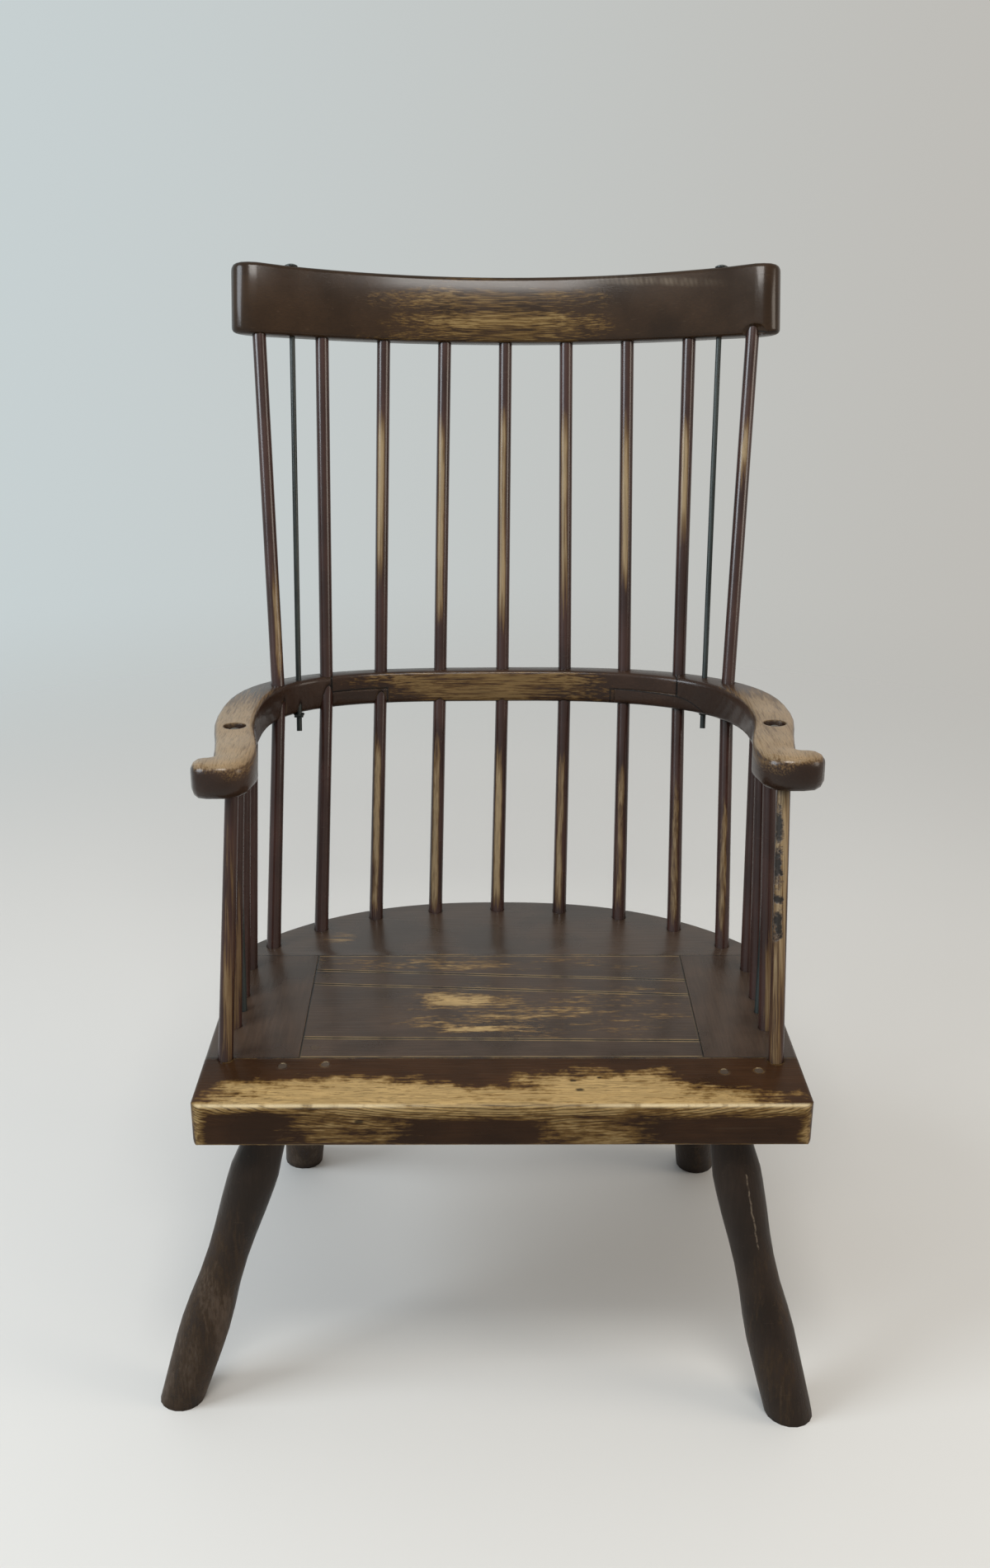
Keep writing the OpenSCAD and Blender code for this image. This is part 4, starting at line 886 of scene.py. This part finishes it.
# The lower stretch ends at a height that falls towards the right
LOWER_HEAD, LOWER_FALL = 0.57, 0.12
LOWER_FOOT = (0.36, 0.4)
LOWER_LEFT = (-0.215, -0.155)

# The leftmost stick is worn on its inner side alone, about this height
LEFT_END = (-0.21, -0.23)
LEFT_END_HEIGHT = 0.73

# Knots of the front right stick: height, half height, and shift from the middle
KNOTTY_BARE = (0.33, 0.235, 0.125)
KNOT_RIM = (0.07, 0.045, 0.03)
KNOTS = ((0.606, 0.021, -0.0035), (0.565, 0.018, -0.004), (0.53, 0.004, -0.0035), (0.507, 0.014, -0.0025))
KNOT_HALF_X, KNOT_HALF_Y = 0.0048, 0.014

# Heights of the bumps of a stick's grain and of its waves
STICK_GRAIN, STICK_WAVES = 0.000008, 0.00005


class ARMCHAIR_OT_back_sticks(bpy.types.Operator):
    """Finish the nine long sticks of the back"""
    bl_idname = "armchair.back_sticks"
    bl_label = "Back sticks"

    def execute(self, context):
        s = looks()
        wood = Wood("back stick", s.stick_coat, s.stick_bare, ALONG_STICK, 0.0008, 0.1, (0.2, 0.3),
                    level=0.35, fineness=420.0, shine=0.2, lean=BACK_LEAN)
        w = wood.w
        z = wood.z
        aside = w.math("SUBTRACT", wood.x, SEAT_MID)
        foot = w.math("ADD", UPPER_FOOT, w.times(w.times(aside, aside), UPPER_CURVE))
        upper = w.times(w.ramp(w.math("SUBTRACT", z, foot), -0.04, 0.04), w.ramp(z, *UPPER_HEAD),
                        w.ramp(aside, *UPPER_LEFT))
        head = w.math("SUBTRACT", LOWER_HEAD, w.times(aside, LOWER_FALL))
        lower = w.times(w.ramp(w.math("SUBTRACT", head, z), -0.02, 0.05), w.ramp(z, *LOWER_FOOT),
                        w.ramp(aside, 0.0, 0.12, 1.0, 0.7), w.ramp(aside, *LOWER_LEFT))
        uneven = w.ramp(w.drift(wood.at, (17.0, 0.0, 5.0), 3.0, 0.6), 0.3, 0.55, 0.7, 1.0)
        stripe = w.times(w.math("MAXIMUM", upper, lower), uneven)
        wood.add_field(0.95, stripe, wood.facing((-0.22, -0.96, 0.15), 0.72, 0.97))
        left_end = w.times(w.ramp(aside, *LEFT_END), w.ramp(w.near(z, LEFT_END_HEIGHT), 0.09, 0.03))
        wood.add_field(0.8, left_end, wood.facing((0.5, -0.85, 0.1), 0.7, 0.95))
        wood.wear(0.15, 1.0, 0.5)
        dress(BACK_STICKS, wood.finish(STICK_GRAIN, STICK_WAVES))
        return {"FINISHED"}


class ARMCHAIR_OT_arm_sticks(bpy.types.Operator):
    """Finish the short sticks under the arms"""
    bl_idname = "armchair.arm_sticks"
    bl_label = "Arm sticks"

    def execute(self, context):
        s = looks()
        wood = Wood("arm stick", s.stick_coat, s.stick_bare, ALONG_STICK, 0.0008, 0.1, (0.2, 0.32), level=0.3,
                    fineness=380.0, shine=0.18, lean=ARM_LEAN)
        front = wood.area((SEAT_MID, SEAT_FRONT + 0.12, 0.5), (0.5, 0.09, 0.16), 0.4, 0.05)
        wood.add_field(0.62, front, wood.facing((0.3, -0.95, 0.1), 0.4, 0.95))
        wood.wear(0.3, 1.25, 0.7)
        dress([name for name in ARM_STICKS if name != KNOTTY_STICK], wood.finish(STICK_GRAIN, STICK_WAVES))
        dress([KNOTTY_STICK], self.knotty(s))
        return {"FINISHED"}

    def knotty(self, s):
        """The front right stick: pale, with small irregular knots down its front."""
        wood = Wood("knotty stick", s.stick_coat, KNOTTY_BARE, ALONG_STICK, 0.0008, 0.1, (0.24, 0.4),
                    level=0.3, fineness=420.0, lean=ARM_LEAN)
        w = wood.w
        wood.add_field(1.0, w.ramp(wood.z, 0.4, 0.5, 0.5, 0.85), wood.facing((-0.2, -0.97, 0.1), 0.1, 0.8))
        wood.wear(0.2, 1.05, 0.7, 0.3)
        middle = (KNOTTY_LOW.x + KNOTTY_HIGH.x) / 2
        for height, half, shift in KNOTS:
            y = KNOTTY_LOW.y + (height - KNOTTY_LOW.z) * ARM_LEAN - 0.002
            knot = wood.area((middle + shift, y, height), (KNOT_HALF_X, KNOT_HALF_Y, half), 0.45, 1.4, 150.0)
            wood.tint(KNOT_RIM, 0.75, w.ramp(knot, 0.02, 0.5))
            wood.tint(GAP_AND_SHADE_DARK, 0.9, w.ramp(knot, 0.45, 0.9))
            wood.bump(knot, -0.0005)
        return wood.finish(0.00002, 0.0001)


# Iron

RUST = (0.05, 0.026, 0.014)
IRON_EDGE = (0.14, 0.14, 0.135)
# Painted shade in the corners of the iron
IRON_SHADE = (0.006, 0.005, 0.004)


class ARMCHAIR_OT_iron(bpy.types.Operator):
    """Finish the iron rods, bolts and nuts"""
    bl_idname = "armchair.iron"
    bl_label = "Iron work"

    def execute(self, context):
        s = looks()
        material = bpy.data.materials.new("rod iron")
        w = fresh_wiring(material)
        at = w.place()
        polish = w.group("wax_polish", {"Vector": at, "Low": 0.3, "High": 0.48})
        edge = w.group("edge_wear", {"Vector": at, "Radius": 0.0006, "Amount": 0.7})
        corner_shade = w.group("painted_corner_shade", {"Vector": at, "Reach": 0.006, "Amount": 0.6})["Mask"]
        base = w.mix(polish["Mottle"], colour(s.iron, 0.75), colour(s.iron, 1.4))
        rust = w.ramp(w.noise(at, 240.0, 4.0, 0.65), 0.58, 0.72)
        base = w.mix(w.times(rust, 0.4), base, colour(RUST))
        base = w.mix(edge["Mask"], base, colour(IRON_EDGE))
        base = w.mix(w.times(self.arm_heads(w, at), 0.85), base, colour(s.bolt_head))
        # Painted shade: iron darker in corners, by ambient occlusion
        base = w.mix(corner_shade, base, colour(IRON_SHADE))
        normal = w.node("ShaderNodeBump", {
            "Height": w.noise(at, 420.0, 4.0, 0.6), "Distance": 0.0001, "Normal": edge["Normal"]}).outputs[0]
        shader = w.node("ShaderNodeBsdfPrincipled", {
            "Base Color": base, "Metallic": 0.35, "Roughness": polish["Roughness"], "Normal": normal})
        w.node("ShaderNodeOutputMaterial", {"Surface": shader.outputs[0]})
        dress(RODS + NUTS, material)
        return {"FINISHED"}

    def arm_heads(self, w, at):
        """Mask of the bolt heads in the arms, by their height and by how far forward they are."""
        parts = w.split(at)
        return w.times(w.ramp(parts[2], ARM_TOP - 0.016, ARM_TOP - 0.013), w.ramp(parts[1], 0.05, 0.0))


# Stage

CAMERA_AT = Vector((-0.0044, -1.7294, 1.276))
CAMERA_TILT = math.radians(68.19)
CAMERA_TURN = math.radians(-0.5)
CAMERA_ROLL = math.radians(0.2)
CAMERA_LENS = 37.875
CAMERA_SENSOR = 36
CAMERA_NEAR = 0.05

# Lamps: place, aim, width, watts and colour
LAMPS = {
    "window light": ((-2.2, -0.9, 2.3), (-0.1, 0.1, 0.7), 1.3, 56, (0.84, 0.92, 1.0)),
    "room light": ((2.5, -0.7, 1.7), (0.1, 0.1, 0.6), 1.1, 20, (1.0, 0.9, 0.78)),
    "top light": ((0.1, -1.1, 2.8), (0.0, -0.1, 0.5), 0.7, 26, (1.0, 0.97, 0.93)),
}

# Light all round, and the backdrop, each from the left to the right
LIGHT_LEFT, LIGHT_RIGHT = (0.86, 0.93, 1.0), (1.0, 0.93, 0.86)
WALL_LEFT, WALL_RIGHT = (0.58, 0.65, 0.665), (0.51, 0.49, 0.455)

# The floor is a round sheet, and fades out between these distances from the middle
FLOOR_RADIUS = 30
FLOOR_SIDES = 48
FLOOR_FADE = (1.0, 3.2)


class ARMCHAIR_OT_stage(bpy.types.Operator):
    """Pale floor, soft studio light and the camera"""
    bl_idname = "armchair.stage"
    bl_label = "Stage"

    def execute(self, context):
        s = looks()
        scene = context.scene
        self.floor(scene, s)
        self.world(scene, s)
        for name, (at, aim, size, power, rgb) in LAMPS.items():
            self.softbox(scene, name, at, aim, size, power, rgb)
        self.camera(scene)
        scene.view_settings.view_transform = "Standard"
        return {"FINISHED"}

    def camera(self, scene):
        camera = bpy.data.objects.new("camera", bpy.data.cameras.new("camera"))
        scene.collection.objects.link(camera)
        camera.data.lens = CAMERA_LENS
        camera.data.sensor_width = CAMERA_SENSOR
        camera.data.sensor_fit = "AUTO"
        camera.data.clip_start = CAMERA_NEAR
        turn = Matrix.Rotation(CAMERA_TURN, 4, "Z") @ Matrix.Rotation(CAMERA_TILT, 4, "X")
        camera.matrix_world = Matrix.Translation(CAMERA_AT) @ turn @ Matrix.Rotation(CAMERA_ROLL, 4, "Z")
        scene.camera = camera

    def floor(self, scene, s):
        """A pale floor that fades into the backdrop away from the chair."""
        mesh = bpy.data.meshes.new("floor")
        turns = [2 * math.pi * k / FLOOR_SIDES for k in range(FLOOR_SIDES)]
        rim = [(FLOOR_RADIUS * math.cos(turn), FLOOR_RADIUS * math.sin(turn), 0) for turn in turns]
        mesh.from_pydata(rim, [], [list(range(FLOOR_SIDES))])
        floor = bpy.data.objects.new("floor", mesh)
        scene.collection.objects.link(floor)
        material = bpy.data.materials.new("floor")
        w = fresh_wiring(material)
        at = w.place()
        tone = w.mix(w.times(w.noise(at, 1.5, 3.0), 0.12), colour(s.floor), colour(s.floor, 0.9))
        shader = w.node("ShaderNodeBsdfPrincipled", {"Base Color": tone, "Roughness": 0.6})
        clear = w.node("ShaderNodeBsdfTransparent")
        away = w.ramp(w.vector("LENGTH", at), *FLOOR_FADE)
        both = w.node("ShaderNodeMixShader", {0: away, 1: shader.outputs[0], 2: clear.outputs[0]})
        w.node("ShaderNodeOutputMaterial", {"Surface": both.outputs[0]})
        mesh.materials.append(material)

    def world(self, scene, s):
        """Soft light all round, cooler from the left and a little darker from the front, and the backdrop."""
        world = bpy.data.worlds.new("studio")
        scene.world = world
        w = fresh_wiring(world)
        parts = w.split(w.node("ShaderNodeTexCoord").outputs["Generated"])
        light = w.mix(w.ramp(parts[0], -0.8, 0.8), colour(LIGHT_LEFT), colour(LIGHT_RIGHT))
        level = w.times(w.ramp(parts[1], -0.9, 0.5, 0.55, 1.1), s.light_level)
        around = w.node("ShaderNodeBackground", {"Color": light, "Strength": level})
        wall = w.mix(w.ramp(parts[0], -0.45, 0.45), colour(WALL_LEFT), colour(WALL_RIGHT))
        behind = w.node("ShaderNodeBackground", {"Color": wall, "Strength": 1.0})
        path = w.node("ShaderNodeLightPath").outputs
        seen = w.math("MAXIMUM", path["Is Camera Ray"], path["Is Glossy Ray"])
        seen = w.math("MAXIMUM", seen, path["Is Transmission Ray"])
        both = w.node("ShaderNodeMixShader", {0: seen, 1: around.outputs[0], 2: behind.outputs[0]})
        w.node("ShaderNodeOutputWorld", {"Surface": both.outputs[0]})

    def softbox(self, scene, name, at, aim, size, power, rgb):
        """A square lamp at a place, turned to what it lights."""
        lamp = bpy.data.lights.new(name, "AREA")
        lamp.shape = "SQUARE"
        lamp.size = size
        lamp.energy = power
        lamp.color = rgb
        made = bpy.data.objects.new(name, lamp)
        scene.collection.objects.link(made)
        made.location = at
        made.rotation_euler = (Vector(aim) - Vector(at)).to_track_quat("-Z", "Y").to_euler()


# The add-on

OPERATORS = [
    ARMCHAIR_OT_seat, ARMCHAIR_OT_legs, ARMCHAIR_OT_arm_bow, ARMCHAIR_OT_comb,
    ARMCHAIR_OT_back_sticks, ARMCHAIR_OT_arm_sticks, ARMCHAIR_OT_iron, ARMCHAIR_OT_stage,
]


class ARMCHAIR_PT_panel(bpy.types.Panel):
    """Settings and steps of the stick armchair"""
    bl_idname = "ARMCHAIR_PT_panel"
    bl_label = "Stick armchair"
    bl_space_type = "VIEW_3D"
    bl_region_type = "UI"
    bl_category = "Armchair"

    def draw(self, context):
        for name in ArmchairSettings.__annotations__:
            self.layout.prop(context.scene.stick_armchair, name)
        for step in OPERATORS:
            self.layout.operator(step.bl_idname)


CLASSES = [ArmchairSettings] + OPERATORS + [ARMCHAIR_PT_panel]


def register():
    for part in CLASSES:
        bpy.utils.register_class(part)
    bpy.types.Scene.stick_armchair = bpy.props.PointerProperty(type=ArmchairSettings)


def unregister():
    del bpy.types.Scene.stick_armchair
    for part in reversed(CLASSES):
        bpy.utils.unregister_class(part)


def main():
    register()
    bpy.ops.armchair.stage()
    bpy.ops.armchair.seat()
    bpy.ops.armchair.legs()
    bpy.ops.armchair.arm_bow()
    bpy.ops.armchair.comb()
    bpy.ops.armchair.back_sticks()
    bpy.ops.armchair.arm_sticks()
    bpy.ops.armchair.iron()


if __name__ == "__main__":
    main()
